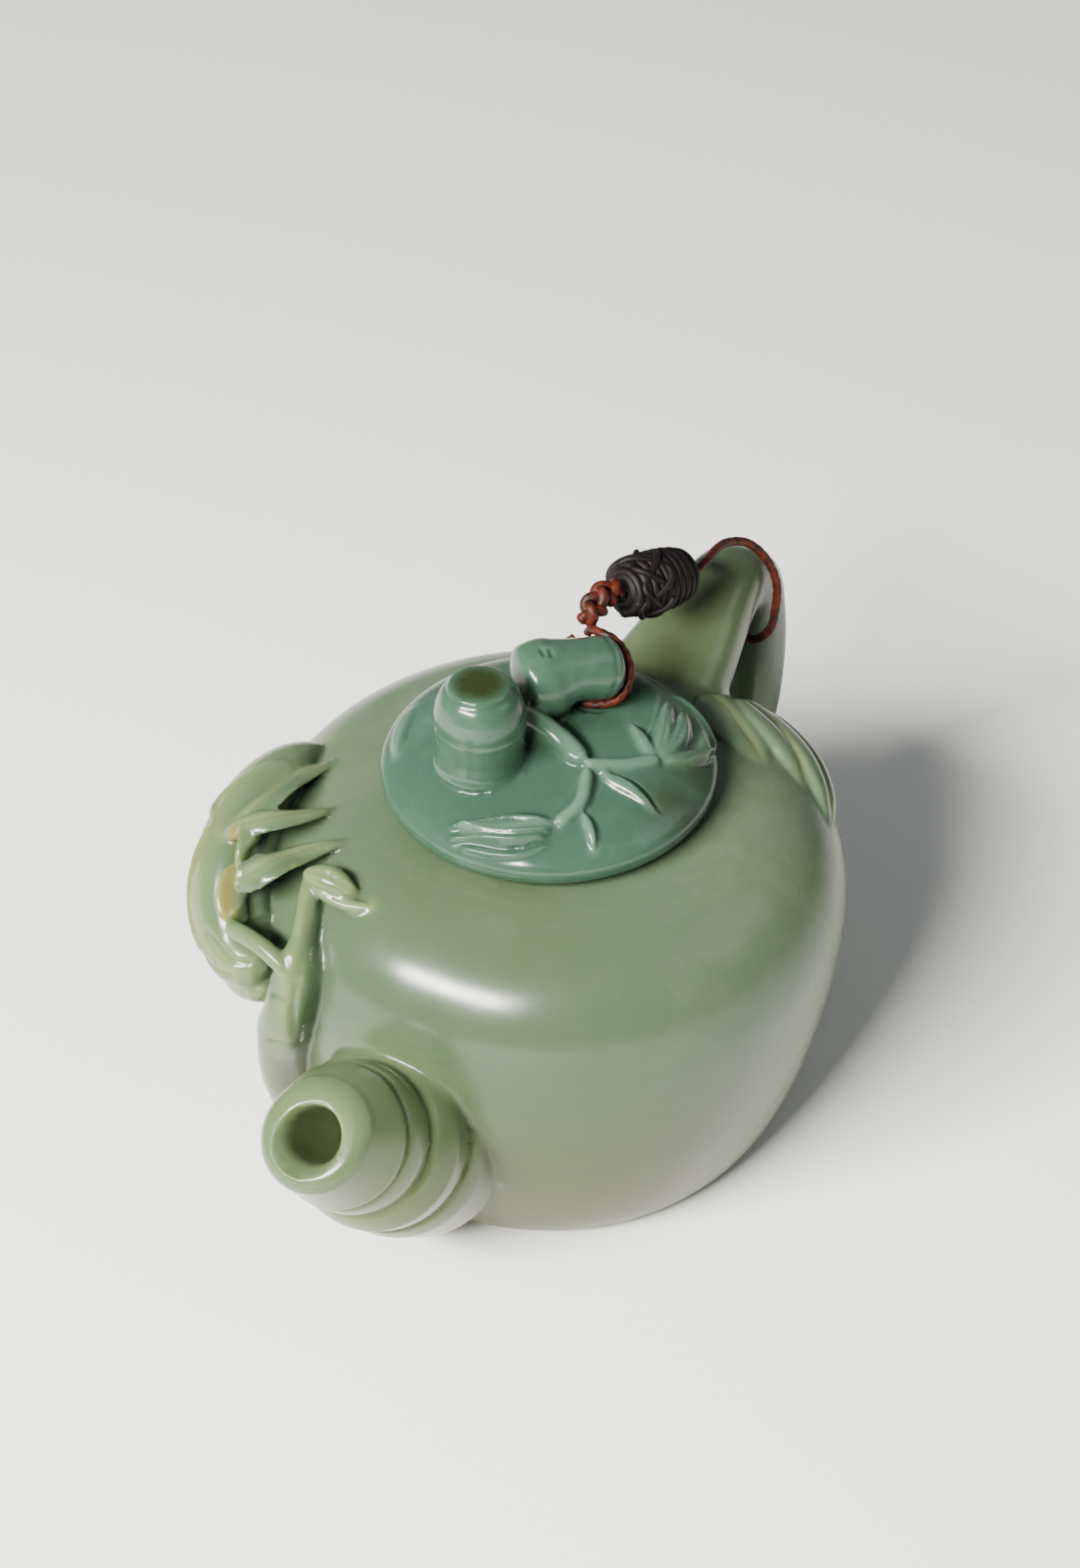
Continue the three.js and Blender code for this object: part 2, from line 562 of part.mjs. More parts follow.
// Twigs and leaves in low relief on the lid
function lidCarving() {
  const twigs = [
    [[[-3.0, 2.6, 2.8], [-0.9, 0.4, 1.9], [-1.4, -2.2, 1.2], [-3.0, -5.7, 0.9]], 2.4],
    [[[-2.9, -5.4, 0.9], [-0.4, -8.5, 0.8], [2.3, -10.3, 0.6]], 1.9],
    [[[-3.2, -5.9, 0.9], [-6.9, -7.2, 0.8], [-9.9, -6.5, 0.6]], 1.5],
  ];
  const leaves = [
    [[[2.0, -10.0, 0.6], [4.4, -7.4, 0.8], [6.1, -5.1, 0.1]], 1.6],
    [[[2.2, -10.2, 0.6], [6.5, -8.6, 0.9], [12.4, -5.6, 0.1]], 2.4],
    [[[2.3, -10.4, 0.6], [7.4, -10.3, 0.9], [12.6, -7.6, 0.1]], 2.6],
    [[[2.3, -10.8, 0.6], [7.2, -12.2, 0.8], [11.6, -9.8, 0.1]], 2.4],
    [[[-2.6, -6.9, 0.6], [-2.2, -10.5, 0.8], [-2.9, -13.9, 0.1]], 1.7],
    [[[-7.4, -7.8, 0.6], [-8.8, -9.4, 0.8], [-10.2, -10.6, 0.1]], 1.2],
    [[[-9.7, -6.3, 0.6], [-13.0, -2.5, 1.0], [-14.2, 2.7, 0.1]], 3.0],
    [[[-10.2, -6.5, 0.6], [-13.6, -4.4, 1.0], [-14.9, 1.6, 0.1]], 3.0],
    [[[0.4, 14.6, 0.3], [-4.4, 13.6, 0.8], [-8.9, 11.2, 0.1]], 1.8],
  ];
  const made = twigs.map(([points, width]) => twigOn(onLid, points, width));
  return join(made.concat(leaves.map(([points, width]) => leafOn(onLid, points, width))));
}

// Tether: a round cord along a route, as an eight-sided tube
function cord(points) {
  const section = new THREE.Shape();
  for (let i = 0; i < CORD_SIDES; i += 1) {
    const angle = (i / CORD_SIDES) * 2 * Math.PI;
    const x = (CORD_DIAMETER / 2) * Math.cos(angle);
    const y = (CORD_DIAMETER / 2) * Math.sin(angle);
    if (i === 0) section.moveTo(x, y);
    else section.lineTo(x, y);
  }
  const path = new THREE.CatmullRomCurve3(points.map((p) => point(...p)), false, 'centripetal');
  const steps = Math.round(path.getLength() / (CORD_STEP * CORD_DIAMETER));
  return solid(new THREE.ExtrudeGeometry(section, { steps, extrudePath: path, curveSegments: 1 }));
}

function plait() {
  const route = freeRoute(PLAIT_ROUTE.map((p) => point(...p)), PLAIT_STEPS);
  const section = (t) => {
    const radius = PLAIT_RADIUS - PLAIT_WAIST * (1 - Math.abs(Math.sin(Math.PI * PLAIT_KNOTS * t)));
    const end = t < 0.001 || t > 0.999 ? 0 : 1;
    return [radius * end, radius * end];
  };
  return solid(sweep(route, section, CORD_SIDES, PLAIT_STEPS));
}

// The bead: thread wound round the cord, one ridge for each turn
function bead() {
  const start = point(...BEAD_START);
  const along = point(...BEAD_END).sub(start);
  const profile = [[0, 0]];
  const steps = 2 * BEAD_WINDINGS;
  for (let i = 0; i <= steps; i += 1) {
    const t = i / steps;
    const swell = BEAD_END_SHARE + (1 - BEAD_END_SHARE) * Math.sqrt(Math.max(0, 1 - (2 * t - 1) ** 2));
    const groove = i % 2 === 0 ? BEAD_WINDING_DEPTH : 0;
    profile.push([BEAD_RADIUS * swell - groove, t * BEAD_LENGTH]);
  }
  profile.push([0, BEAD_LENGTH]);
  return solid(turnedAlong(profile, BEAD_SIDES, start, along));
}

const jade = (color, roughness) => new THREE.MeshStandardMaterial({ color, roughness, metalness: 0 });
const potJade = jade(0xa9b894, 0.25);
const lidJade = jade(0x6f9a80, 0.22);
const redCord = new THREE.MeshStandardMaterial({ color: 0x7a3320, roughness: 0.8, metalness: 0 });
const darkThread = new THREE.MeshStandardMaterial({ color: 0x2a1c1c, roughness: 0.6, metalness: 0 });

const outside = join([potBody(), spout(), handle(), branch(), potLeaves()]);
const pot = outside.subtract(potHollow()).subtract(spoutBore());
const lid = join([lidPlate(), stump(), arch(), lidCarving()]).subtract(eye());

const teapot = new THREE.Group();
teapot.add(node('pot', pot, potJade));
teapot.add(node('lid', lid, lidJade));
teapot.add(node('tether_knob_loop', cord(KNOB_LOOP), redCord));
teapot.add(node('tether_plait', plait(), redCord));
teapot.add(node('tether_bead', bead(), darkThread));
teapot.add(node('tether_handle_loop', cord(HANDLE_LOOP), redCord));

export default teapot;
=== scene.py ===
# %% [markdown]
# # A jade teapot with bamboo carving
# This lesson dresses a imported CAD model. The frame gives every piece its true place, so each piece here is
# modelled straight into that place, in metres, and only its surface is finer than the solid it stands for.

# %% Load the frame
import json
import math

import bmesh
import bpy
import numpy as np
from mathutils import Matrix, Vector
from mathutils.kdtree import KDTree

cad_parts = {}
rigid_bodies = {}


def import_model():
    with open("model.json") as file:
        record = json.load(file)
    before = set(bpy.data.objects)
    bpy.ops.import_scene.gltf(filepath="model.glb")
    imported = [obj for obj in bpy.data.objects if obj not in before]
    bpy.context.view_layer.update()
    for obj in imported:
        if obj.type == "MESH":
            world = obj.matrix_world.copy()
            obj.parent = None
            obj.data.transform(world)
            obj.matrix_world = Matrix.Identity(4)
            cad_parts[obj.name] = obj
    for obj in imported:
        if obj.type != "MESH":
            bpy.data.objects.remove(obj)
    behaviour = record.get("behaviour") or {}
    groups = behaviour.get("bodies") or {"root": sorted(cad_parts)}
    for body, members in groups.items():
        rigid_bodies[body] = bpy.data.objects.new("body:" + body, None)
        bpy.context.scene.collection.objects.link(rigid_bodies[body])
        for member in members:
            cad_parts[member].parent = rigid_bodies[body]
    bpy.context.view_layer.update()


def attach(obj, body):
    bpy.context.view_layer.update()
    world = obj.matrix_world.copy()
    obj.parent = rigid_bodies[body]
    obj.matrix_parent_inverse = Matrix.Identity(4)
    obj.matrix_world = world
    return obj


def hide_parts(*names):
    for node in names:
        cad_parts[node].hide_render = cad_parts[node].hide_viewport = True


for leftover in list(bpy.data.objects):
    bpy.data.objects.remove(leftover)
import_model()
MM = 0.001

# %% [markdown]
# ## The camera
# The photograph looks down on the teapot from beside its spout. A long lens held close gives it its mild
# perspective. Azimuth and elevation are turned into a direction, and the shift only centres the frame.

# %% Camera
CAMERA_AZIMUTH = -60
CAMERA_ELEVATION = 40
CAMERA_DISTANCE = 363.6 * MM
CAMERA_LENS = 90
CAMERA_SIDESTEP = -0.818 * MM
CAMERA_RISE = -1.818 * MM
CAMERA_TARGET = Vector((0, 0, 40.5 * MM))

azimuth, elevation = math.radians(CAMERA_AZIMUTH), math.radians(CAMERA_ELEVATION)
back = Vector((math.sin(azimuth) * math.cos(elevation), -math.cos(azimuth) * math.cos(elevation),
               math.sin(elevation)))
right = Vector((math.cos(azimuth), math.sin(azimuth), 0))
up = back.cross(right)
camera = bpy.data.objects.new("camera", bpy.data.cameras.new("camera"))
camera.data.lens = CAMERA_LENS
camera.data.sensor_width = 36
camera.data.clip_start = 0.01
camera.location = CAMERA_TARGET + CAMERA_DISTANCE * back + CAMERA_SIDESTEP * right + CAMERA_RISE * up
camera.rotation_euler = back.to_track_quat("Z", "Y").to_euler()
bpy.context.scene.collection.objects.link(camera)
bpy.context.scene.camera = camera
print("camera at", [round(v, 4) for v in camera.location])

# %% [markdown]
# ## Helpers for routes
# Cords, branches and leaves all follow a route. A Catmull-Rom curve passes through every point it is given,
# so a route stays a short list of given places. First come a few measures of such a list.

# %% Measures of a route
def steps_of(places):
    """The length of each step from a place to the next."""
    return np.linalg.norm(np.diff(places, axis=0), axis=1)


def passed_at(places):
    """How much of the route lies behind each place."""
    return np.concatenate([[0], np.cumsum(steps_of(places))])


def length_of(places):
    return float(steps_of(places).sum())


def unit(directions):
    """The same directions with a length of 1."""
    return directions / np.linalg.norm(directions, axis=1)[:, None]


def read_off(wanted, known, places):
    """Places between the given ones, as the wanted values lie between the known ones."""
    return np.stack([np.interp(wanted, known, column) for column in places.T], 1)


# %% Routes through points
STEPS_BETWEEN = 24


def through(points, count):
    """Evenly spaced places on a centripetal Catmull-Rom curve through the points."""
    p = np.asarray(points, float)
    p = np.vstack([2 * p[0] - p[1], p, 2 * p[-1] - p[-2]])
    knots = np.concatenate([[0], np.cumsum(np.maximum(steps_of(p), 1e-9) ** 0.5)])
    dense = []
    for i in range(1, len(p) - 2):
        t0, t1, t2, t3 = knots[i - 1:i + 3]
        t = np.linspace(t1, t2, STEPS_BETWEEN, endpoint=i == len(p) - 3)[:, None]
        a1 = (t1 - t) / (t1 - t0) * p[i - 1] + (t - t0) / (t1 - t0) * p[i]
        a2 = (t2 - t) / (t2 - t1) * p[i] + (t - t1) / (t2 - t1) * p[i + 1]
        a3 = (t3 - t) / (t3 - t2) * p[i + 1] + (t - t2) / (t3 - t2) * p[i + 2]
        b1 = (t2 - t) / (t2 - t0) * a1 + (t - t0) / (t2 - t0) * a2
        b2 = (t3 - t) / (t3 - t1) * a2 + (t - t1) / (t3 - t1) * a3
        dense.append((t2 - t) / (t2 - t1) * b1 + (t - t1) / (t2 - t1) * b2)
    dense = np.vstack(dense)
    passed = passed_at(dense)
    return read_off(np.linspace(0, passed[-1], count), passed, dense)


def frames_along(places):
    """For each place the direction of travel and two directions across it, which don't twist."""
    along = unit(np.gradient(places, axis=0))
    side = np.cross(along[0], (0, 0, 1.0) if abs(along[0][2]) < 0.9 else (1.0, 0, 0))
    sides = []
    for direction in along:
        side = side - direction * (side @ direction)
        side /= np.linalg.norm(side)
        sides.append(side)
    sides = np.array(sides)
    return along, sides, np.cross(along, sides)


# %% [markdown]
# ## The tether's routes
# The cord runs in a loop round the knob, is plaited into one thick stretch, passes a bead wound with dark
# thread, and loops over the handle. The points are the solid model's own.

# %% Cord routes
CORD_DIAMETER = 0.9 * MM
KNOB_LOOP = [
    (10.2, 1.7, 48.5), (9.6, 0.9, 49.5), (9.0, -0.3, 50.05), (8.95, -1.75, 49.85), (8.75, -3.05, 48.95),
    (8.15, -4.0, 47.6), (7.25, -4.15, 46.2), (6.1, -3.6, 45.3), (5.1, -2.3, 45.0), (4.7, -0.9, 45.0),
    (5.2, 0.9, 45.1), (6.5, 2.5, 45.3), (8.2, 3.5, 45.8), (9.6, 3.7, 46.6), (10.3, 3.1, 47.4),
]
PLAIT_ROUTE = [(10.85, 2.3, 48.85), (12.2, 2.4, 49.5), (14.8, 2.5, 49.6), (16.7, 2.2, 48.85)]
BEAD_START = (17.2, 2.0, 48.6)
BEAD_END = (25.1, -0.5, 46.6)
BEAD_LENGTH = 8.4 * MM
BEAD_RADIUS = 3.1 * MM
HANDLE_LOOP = [
    (25.5, -1.2, 46.45), (27.6, -1.5, 46.6), (30.6, -1.2, 46.2), (33.5, -1.1, 45.1), (36.0, -1.9, 43.6),
    (37.35, -3.2, 41.4), (37.6, -4.4, 38.6), (37.15, -4.6, 35.6), (36.7, -4.3, 33.4), (36.2, -2.9, 31.9),
    (35.8, -1.2, 32.4), (35.5, 0.5, 33.2), (35.2, 2.5, 33.3), (34.8, 4.4, 34.2), (34.3, 5.1, 37.0),
    (33.2, 5.0, 40.1), (31.4, 4.1, 42.8), (28.9, 2.5, 45.1), (27.2, 1.1, 46.1), (25.95, 0.3, 46.3),
]
handle_route = through(np.array(HANDLE_LOOP) * MM, 240)
knob_route = through(np.array(KNOB_LOOP) * MM, 130)
print(f"handle loop {length_of(handle_route) / MM:.1f} mm, knob loop {length_of(knob_route) / MM:.1f} mm")

# %% [markdown]
# ## Closed forms from operators
# Two ways of making a solid cover the whole teapot. A turned form spins a profile round an axis, as a lathe
# would. A swept form starts as a globe: each of its rings is carried to a place on a route, so that the
# globe's two poles close the ends.

# %% Turned and swept forms
def add_object(name, bm):
    mesh = bpy.data.meshes.new(name)
    bm.to_mesh(mesh)
    bm.free()
    made = bpy.data.objects.new(name, mesh)
    bpy.context.scene.collection.objects.link(made)
    return made


def turned(profile, sides):
    """A closed form about +Z, from (radius, height) places in mm that begin and end on the axis."""
    bm = bmesh.new()
    verts = [bm.verts.new((radius * MM, 0, height * MM)) for radius, height in profile]
    edges = [bm.edges.new(pair) for pair in zip(verts, verts[1:])]
    bmesh.ops.spin(bm, geom=verts + edges, cent=(0, 0, 0), axis=(0, 0, 1), angle=2 * math.pi, steps=sides,
                   use_merge=True)
    bmesh.ops.remove_doubles(bm, verts=bm.verts, dist=1e-7)
    bmesh.ops.recalc_face_normals(bm, faces=bm.faces)
    return bm


def swept(places, side, rise, around, shape):
    """A closed form along places in metres. shape(k, angle) gives how far it reaches across and through."""
    bm = bmesh.new()
    steps = len(places) - 1
    bmesh.ops.create_uvsphere(bm, u_segments=around, v_segments=steps, radius=1)
    for vert in bm.verts:
        k = round(math.acos(max(-1, min(1, vert.co.z))) / math.pi * steps)
        if k in (0, steps):
            vert.co = places[k]
            continue
        across, through_it = shape(k, math.atan2(vert.co.y, vert.co.x))
        vert.co = places[k] + across * side[k] + through_it * rise[k]
    bmesh.ops.recalc_face_normals(bm, faces=bm.faces)
    return bm


def round_shape(radius_at):
    """A shape for swept that reaches out by radius_at(k, angle) in every direction."""
    def shape(k, angle):
        radius = radius_at(k, angle)
        return radius * math.cos(angle), radius * math.sin(angle)

    return shape


def together(forms):
    """One form that holds all the forms, laid over one another."""
    whole = bmesh.new()
    for form in forms:
        mesh = bpy.data.meshes.new("part")
        form.to_mesh(mesh)
        form.free()
        whole.from_mesh(mesh)
        bpy.data.meshes.remove(mesh)
    return whole


def settle(piece):
    """Apply a piece's modifiers to its mesh."""
    graph = bpy.context.evaluated_depsgraph_get()
    mesh = bpy.data.meshes.new_from_object(piece.evaluated_get(graph), depsgraph=graph)
    piece.modifiers.clear()
    old, piece.data = piece.data, mesh
    bpy.data.meshes.remove(old)
    return piece


# %% [markdown]
# ## The tether: braided cord
# A thin jade cord is a round braid: half its strands wind one way and half the other. Two crossed sets of
# ridges on the tube's surface give its plies at their true pitch.

# %% Cord
CORD_PITCH = 2.3 * CORD_DIAMETER
CORD_CORE, CORD_RIDGE, CORD_SIDES = 0.93, 0.07, 18


def braided(name, points, count):
    route = through(np.array(points) * MM, count)
    along, side, rise = frames_along(route)
    passed = passed_at(route)

    def radius_at(k, angle):
        lay = 2 * math.pi * passed[k] / CORD_PITCH
        ply = max(math.cos(3 * angle + 2 * lay), math.cos(3 * angle - 2 * lay))
        return CORD_DIAMETER / 2 * (CORD_CORE + CORD_RIDGE * ply)

    return add_object(name, swept(route, side, rise, CORD_SIDES, round_shape(radius_at)))


tether_handle_loop = braided("cord_handle_loop", HANDLE_LOOP, 420)
tether_knob_loop = braided("cord_knob_loop", KNOB_LOOP, 200)
print("cords:", len(tether_handle_loop.data.vertices), len(tether_knob_loop.data.vertices), "vertices")

# %% [markdown]
# ## The plait
# The plait is a true four-strand round braid. Two strands wind each way round the axis, and each passes
# over one neighbour and under the next. A wave in each strand's distance from the axis makes it do so.

# %% Plait
PLAIT_TURNS = 1.5
PLAIT_STRAND = 1.14 * MM
PLAIT_CORE = 0.62 * MM
PLAIT_WEAVE = 0.3 * MM
plait_axis = through(np.array(PLAIT_ROUTE) * MM, 130)
plait_along, plait_side, plait_rise = frames_along(plait_axis)


def strand(number):
    turn = 1 if number < 2 else -1
    share = np.linspace(0, 1, len(plait_axis))
    angle = turn * 2 * math.pi * PLAIT_TURNS * share + math.pi * (number % 2) + 0.4
    close = np.clip(np.minimum(share, 1 - share) / 0.1, 0.7, 1)
    out = (PLAIT_CORE + turn * PLAIT_WEAVE * np.cos(4 * math.pi * PLAIT_TURNS * share)) * close
    line = (plait_axis + (out * np.cos(angle))[:, None] * plait_side
            + (out * np.sin(angle))[:, None] * plait_rise)
    along, side, rise = frames_along(line)

    def radius_at(k, around):
        ply = 0.94 + 0.06 * math.cos(3 * around + 9 * share[k] * math.pi * PLAIT_TURNS)
        ends = min(1, 3.2 * math.sqrt(min(share[k], 1 - share[k])) + 0.35)
        return PLAIT_STRAND / 2 * ply * ends

    return swept(line, side, rise, 14, round_shape(radius_at))


tether_plait = add_object("cord_plait", together([strand(number) for number in range(4)]))
print("plait:", len(tether_plait.data.vertices), "vertices")

# %% [markdown]
# ## The bead
# The bead is a barrel of dark thread. Its right half is wound in plain turns, and its left half is covered
# by a woven ring knot, which gives the round lumps. Threads laid over a plain core are enough for both.

# %% Bead
BEAD_TURNS = 9
BEAD_THREAD = 0.92 * MM
THREAD_SIDES = 10
bead_start = np.array(BEAD_START) * MM
bead_end = np.array(BEAD_END) * MM
bead_along = (bead_end - bead_start) / np.linalg.norm(bead_end - bead_start)
bead_side = np.cross(bead_along, (0, 0, 1.0))
bead_side /= np.linalg.norm(bead_side)
bead_rise = np.cross(bead_along, bead_side)


def barrel(share):
    """The bead's radius where its share of the length has been passed."""
    return BEAD_RADIUS * (0.66 + 0.34 * np.sqrt(np.clip(1 - (2 * share - 1) ** 2, 0, 1)))


def on_bead(share, angle, out):
    radius = (barrel(share) + out)[:, None]
    places = bead_start + np.outer(share * BEAD_LENGTH, bead_along)
    return places + radius * (np.outer(np.cos(angle), bead_side) + np.outer(np.sin(angle), bead_rise))


def bead_core():
    share = np.linspace(0.02, 0.98, 30)
    profile = [(0, 0.02 * BEAD_LENGTH / MM)]
    profile += [((barrel(s) - 0.62 * BEAD_THREAD) / MM, s * BEAD_LENGTH / MM) for s in share]
    form = turned(profile + [(0, 0.98 * BEAD_LENGTH / MM)], 40)
    turn = Vector(bead_along).to_track_quat("Z", "Y").to_matrix().to_4x4()
    bmesh.ops.transform(form, matrix=Matrix.Translation(Vector(bead_start)) @ turn, verts=form.verts)
    return form


def thread(line, diameter):
    along, side, rise = frames_along(line)
    return swept(line, side, rise, THREAD_SIDES, round_shape(lambda k, angle: diameter / 2))


# %% Threads of the bead
winding = np.linspace(0, 1, 560)
wound = on_bead(0.055 + 0.89 * winding, 2 * math.pi * BEAD_TURNS * winding, -0.5 * BEAD_THREAD)
knot = np.linspace(0, 2 * math.pi, 420)
KNOT_LEADS, KNOT_BIGHTS = 3, 7
woven = on_bead(0.29 + 0.2 * np.cos(KNOT_BIGHTS * knot), KNOT_LEADS * knot,
                -0.16 * BEAD_THREAD + 0.2 * BEAD_THREAD * np.sin(2 * KNOT_BIGHTS * knot))
COIL_TURNS, COIL_STEPS = 2.2, 140
coil = np.linspace(0, 1, COIL_STEPS)


def end_coil(share):
    """A flat coil that closes one end of the bead."""
    out = barrel(np.full(COIL_STEPS, share)) * (0.12 + 0.76 * coil)
    places = bead_start + np.outer(np.full(COIL_STEPS, share * BEAD_LENGTH), bead_along)
    turn = 2 * math.pi * COIL_TURNS * coil
    return places + out[:, None] * (np.outer(np.cos(turn), bead_side) + np.outer(np.sin(turn), bead_rise))


tether_bead = add_object("cord_bead", together([
    bead_core(), thread(wound, BEAD_THREAD), thread(woven, 0.72 * BEAD_THREAD),
    thread(end_coil(0.06), BEAD_THREAD), thread(end_coil(0.94), BEAD_THREAD)]))
print("bead:", len(tether_bead.data.vertices), "vertices")

# %% [markdown]
# ## The pot's outline
# The body is a squat globe on a flat foot. One formula gives the curve below its widest place and another
# the curve above it. Everything that is carved on the body is placed by an angle round it, a share of this
# outline from foot to seat, and a lift off the surface.

# %% Outline and places on it
FOOT_RADIUS, FOOT_CHAMFER = 20.4, 0.7
BELLY_RADIUS, BELLY_HEIGHT = 28.3, 26.0
SEAT_HEIGHT, SEAT_RADIUS, MOUTH_RADIUS = 38.2, 15.2, 11.5
WALL, FLOOR = 3.4, 4.5


def pot_outline(steps=240):
    height = SEAT_HEIGHT * np.sin(np.linspace(0, np.pi / 2, steps + 1))
    drop = np.clip(1 - height / BELLY_HEIGHT, 0, 1)
    climb = np.clip((height - BELLY_HEIGHT) / (SEAT_HEIGHT - BELLY_HEIGHT), 0, 1)
    low = FOOT_RADIUS + (BELLY_RADIUS - FOOT_RADIUS) * (1 - drop ** 1.6) ** 0.61
    high = SEAT_RADIUS + (BELLY_RADIUS - SEAT_RADIUS) * np.sqrt(1 - climb ** 2.2)
    return np.stack([np.where(height < BELLY_HEIGHT, low, high), height], 1)


OUTLINE = pot_outline()
PASSED = passed_at(OUTLINE)
SLOPE = np.gradient(OUTLINE, PASSED, axis=0)
print(f"outline {PASSED[-1]:.1f} mm from foot to seat")


def outline_at(passed):
    """Radius, height and the slope of both, where so much of the outline has been passed."""
    return [np.interp(passed, PASSED, column) for column in (*OUTLINE.T, *SLOPE.T)]


def on_pot(places):
    """Places in mm over the pot, from rows of angle, share in hundredths and lift; and the way out there."""
    angle, lift = np.radians(places[:, 0]), places[:, 2:3]
    radius, height, dr, dz = outline_at(np.clip(places[:, 1] / 100, 0, 1) * PASSED[-1])
    size = np.hypot(dr, dz)
    rise = np.stack([np.cos(angle) * dz / size, np.sin(angle) * dz / size, -dr / size], 1)
    return np.stack([np.cos(angle) * radius, np.sin(angle) * radius, height], 1) + lift * rise, rise


LID_UNDER, LID_EDGE, LID_RADIUS, LID_RISE = 38.5, 1.9, 15.7, 4.3
LID_WIDEST = LID_UNDER + LID_EDGE


def on_lid(places):
    """The same over the lid's dome, from rows of x, y and lift."""
    x, y, lift = places[:, 0], places[:, 1], places[:, 2:3]
    out = np.minimum(np.hypot(x, y) / LID_RADIUS, 0.985)
    height = LID_WIDEST + LID_RISE * np.sqrt(1 - out ** 2)
    rise = unit(np.stack([x / LID_RADIUS ** 2, y / LID_RADIUS ** 2, (height - LID_WIDEST) / LID_RISE ** 2], 1))
    return np.stack([x, y, height], 1) + lift * rise, rise


# %% [markdown]
# ## Relief
# A branch or leaf in relief is a swept form half sunk in the surface. Its points give the crest, and the
# form is thick enough to reach a little below the surface. A leaf has a pointed outline, a crease along its
# middle and, where it stands free, sharp edges; a twig has blunt ends.

# %% Relief over a surface
def blunt(t, share):
    near = min(t, 1 - t) / share
    return 1 if near >= 1 else math.sqrt(max(0, 1 - (1 - near) ** 2))


def smooth(value, low, high):
    t = min(1, max(0, (value - low) / (high - low)))
    return t * t * (3 - 2 * t)


def leaf_outline(t):
    return math.sin(math.pi * t ** 0.7) ** 0.9 if 0 < t < 1 else 0


def over_segments(points, count):
    """Like through, with the places spread evenly over the segments instead of over the length."""
    points = np.asarray(points, float)
    dense = through(points, 3000)
    ends = np.array([np.argmin(np.linalg.norm(dense - p, axis=1)) for p in points], float)
    wanted = np.interp(np.linspace(0, 1, count), np.linspace(0, 1, len(points)), ends)
    return read_off(wanted, np.arange(len(dense)), dense)


ROOT = 0.4
CREASE_WIDTH = 0.17
SQUARENESS = 0.45


def relief(place, points, width, outline, steps=56, around=28, thick=None, crease=0.0, sharp=False):
    """thick is how deep a form goes below its crest; without it, it goes down to its root in the surface."""
    rows = over_segments(points, steps + 1)
    deep = (rows[:, 2] + ROOT) / 2
    if thick is not None:
        deep = np.minimum(deep, thick / 2)
    rows[:, 2] -= deep
    centres, rise = place(rows)
    along = unit(np.gradient(centres, axis=0))
    side = unit(np.cross(rise, along))
    rise = np.cross(along, side)

    def shape(k, angle):
        breadth = outline(k / steps)
        c, s = math.cos(angle), math.sin(angle)
        high = deep[k] * min(1, 1.6 * breadth)
        if sharp:
            across, through_it = c, s * abs(s)
        elif s > 0:
            across, through_it = c, s
        else:
            across, through_it = math.copysign(abs(c) ** SQUARENESS, c), -abs(s) ** SQUARENESS
        if s > 0:
            through_it *= 1 - crease * math.exp(-((c / CREASE_WIDTH) ** 2))
        return width / 2 * breadth * across * MM, high * through_it * MM

    return swept(centres * MM, side, rise, around, shape)


# %% [markdown]
# ## Branch and leaves on the pot
# A stem climbs beside the spout, and a folded lobe, a bud, a free twig and five leaves grow from it. Four
# more leaves lie on the other shoulder. Each row is an angle, a share of the outline, and a height in
# hundredths of the boldest relief, so the whole carving can be made bolder or flatter by one number.

# %% Places of the carving on the pot
BRANCH_RELIEF = 6.5


def lifted(points):
    return [(angle, share, high / 100 * BRANCH_RELIEF) for angle, share, high in points]


STEM = [(145, 18, 50), (149, 34, 58), (153.5, 50, 58), (157.5, 61, 58), (157.5, 69.5, 54), (154, 75.4, 46),
        (149.5, 79.2, 38), (145.5, 81.8, 28)]
LOBE = [(97, 80, 2), (105, 78, 44), (114, 76, 72), (123, 72.6, 90), (130.5, 68.4, 100), (136, 64.2, 98),
        (142, 61.6, 88), (150, 62.6, 62)]
BUD = [(127, 51, 42), (134.5, 53, 62), (142.5, 55.5, 64), (151, 58.5, 50)]
FREE_TWIG = [(160, 67.5, 42), (155, 69.2, 58), (150, 69.2, 70), (145.5, 68.4, 77), (141, 69.6, 80),
             (138, 72.4, 78), (136, 75.4, 74), (132.5, 77.6, 64), (127, 78.5, 50)]
FREE_TWIG_RADIUS = 0.88
LEAF_WIDTH = 4.2
POT_LEAVES = [
    ([(146.5, 80.6, 40), (152.5, 83.5, 42), (156.5, 84.5, 26), (159.5, 85.2, 2)], 0.62),
    ([(148.5, 80.6, 36), (155, 81.5, 24), (160.5, 83, 12), (166, 86.7, 1)], 0.42),
    ([(139.5, 71.5, 80), (143, 77.2, 78), (142, 81.5, 43), (141.5, 91.5, 2)], 1.0),
    ([(129, 73.5, 90), (132.5, 79.7, 78), (132, 84.2, 44), (127.5, 91, 2)], 0.75),
    ([(130, 74, 84), (126, 79.7, 68), (117, 83.7, 36), (105, 89.5, 2)], 1.2),
]
SHOULDER_LEAVES = [
    ([(-16, 88, 12), (-33, 90, 13), (-52, 88, 2)], 1.6),
    ([(-20, 83, 18), (-38, 81, 20), (-55, 79, 2)], 1.35),
    ([(-24, 78, 20), (-42, 75, 24), (-62, 72, 2)], 1.45),
    ([(-22, 73, 20), (-34, 65, 24), (-43, 55, 2)], 1.3),
]


# %% Forms of the carving on the pot
def stem_outline(t):
    taper = 1 + (0.42 - 1) * smooth(t, 0.48, 0.66)
    return taper * (1 + 0.12 * math.exp(-(((t - 0.3) / 0.05) ** 2))) * blunt(t, 0.08)


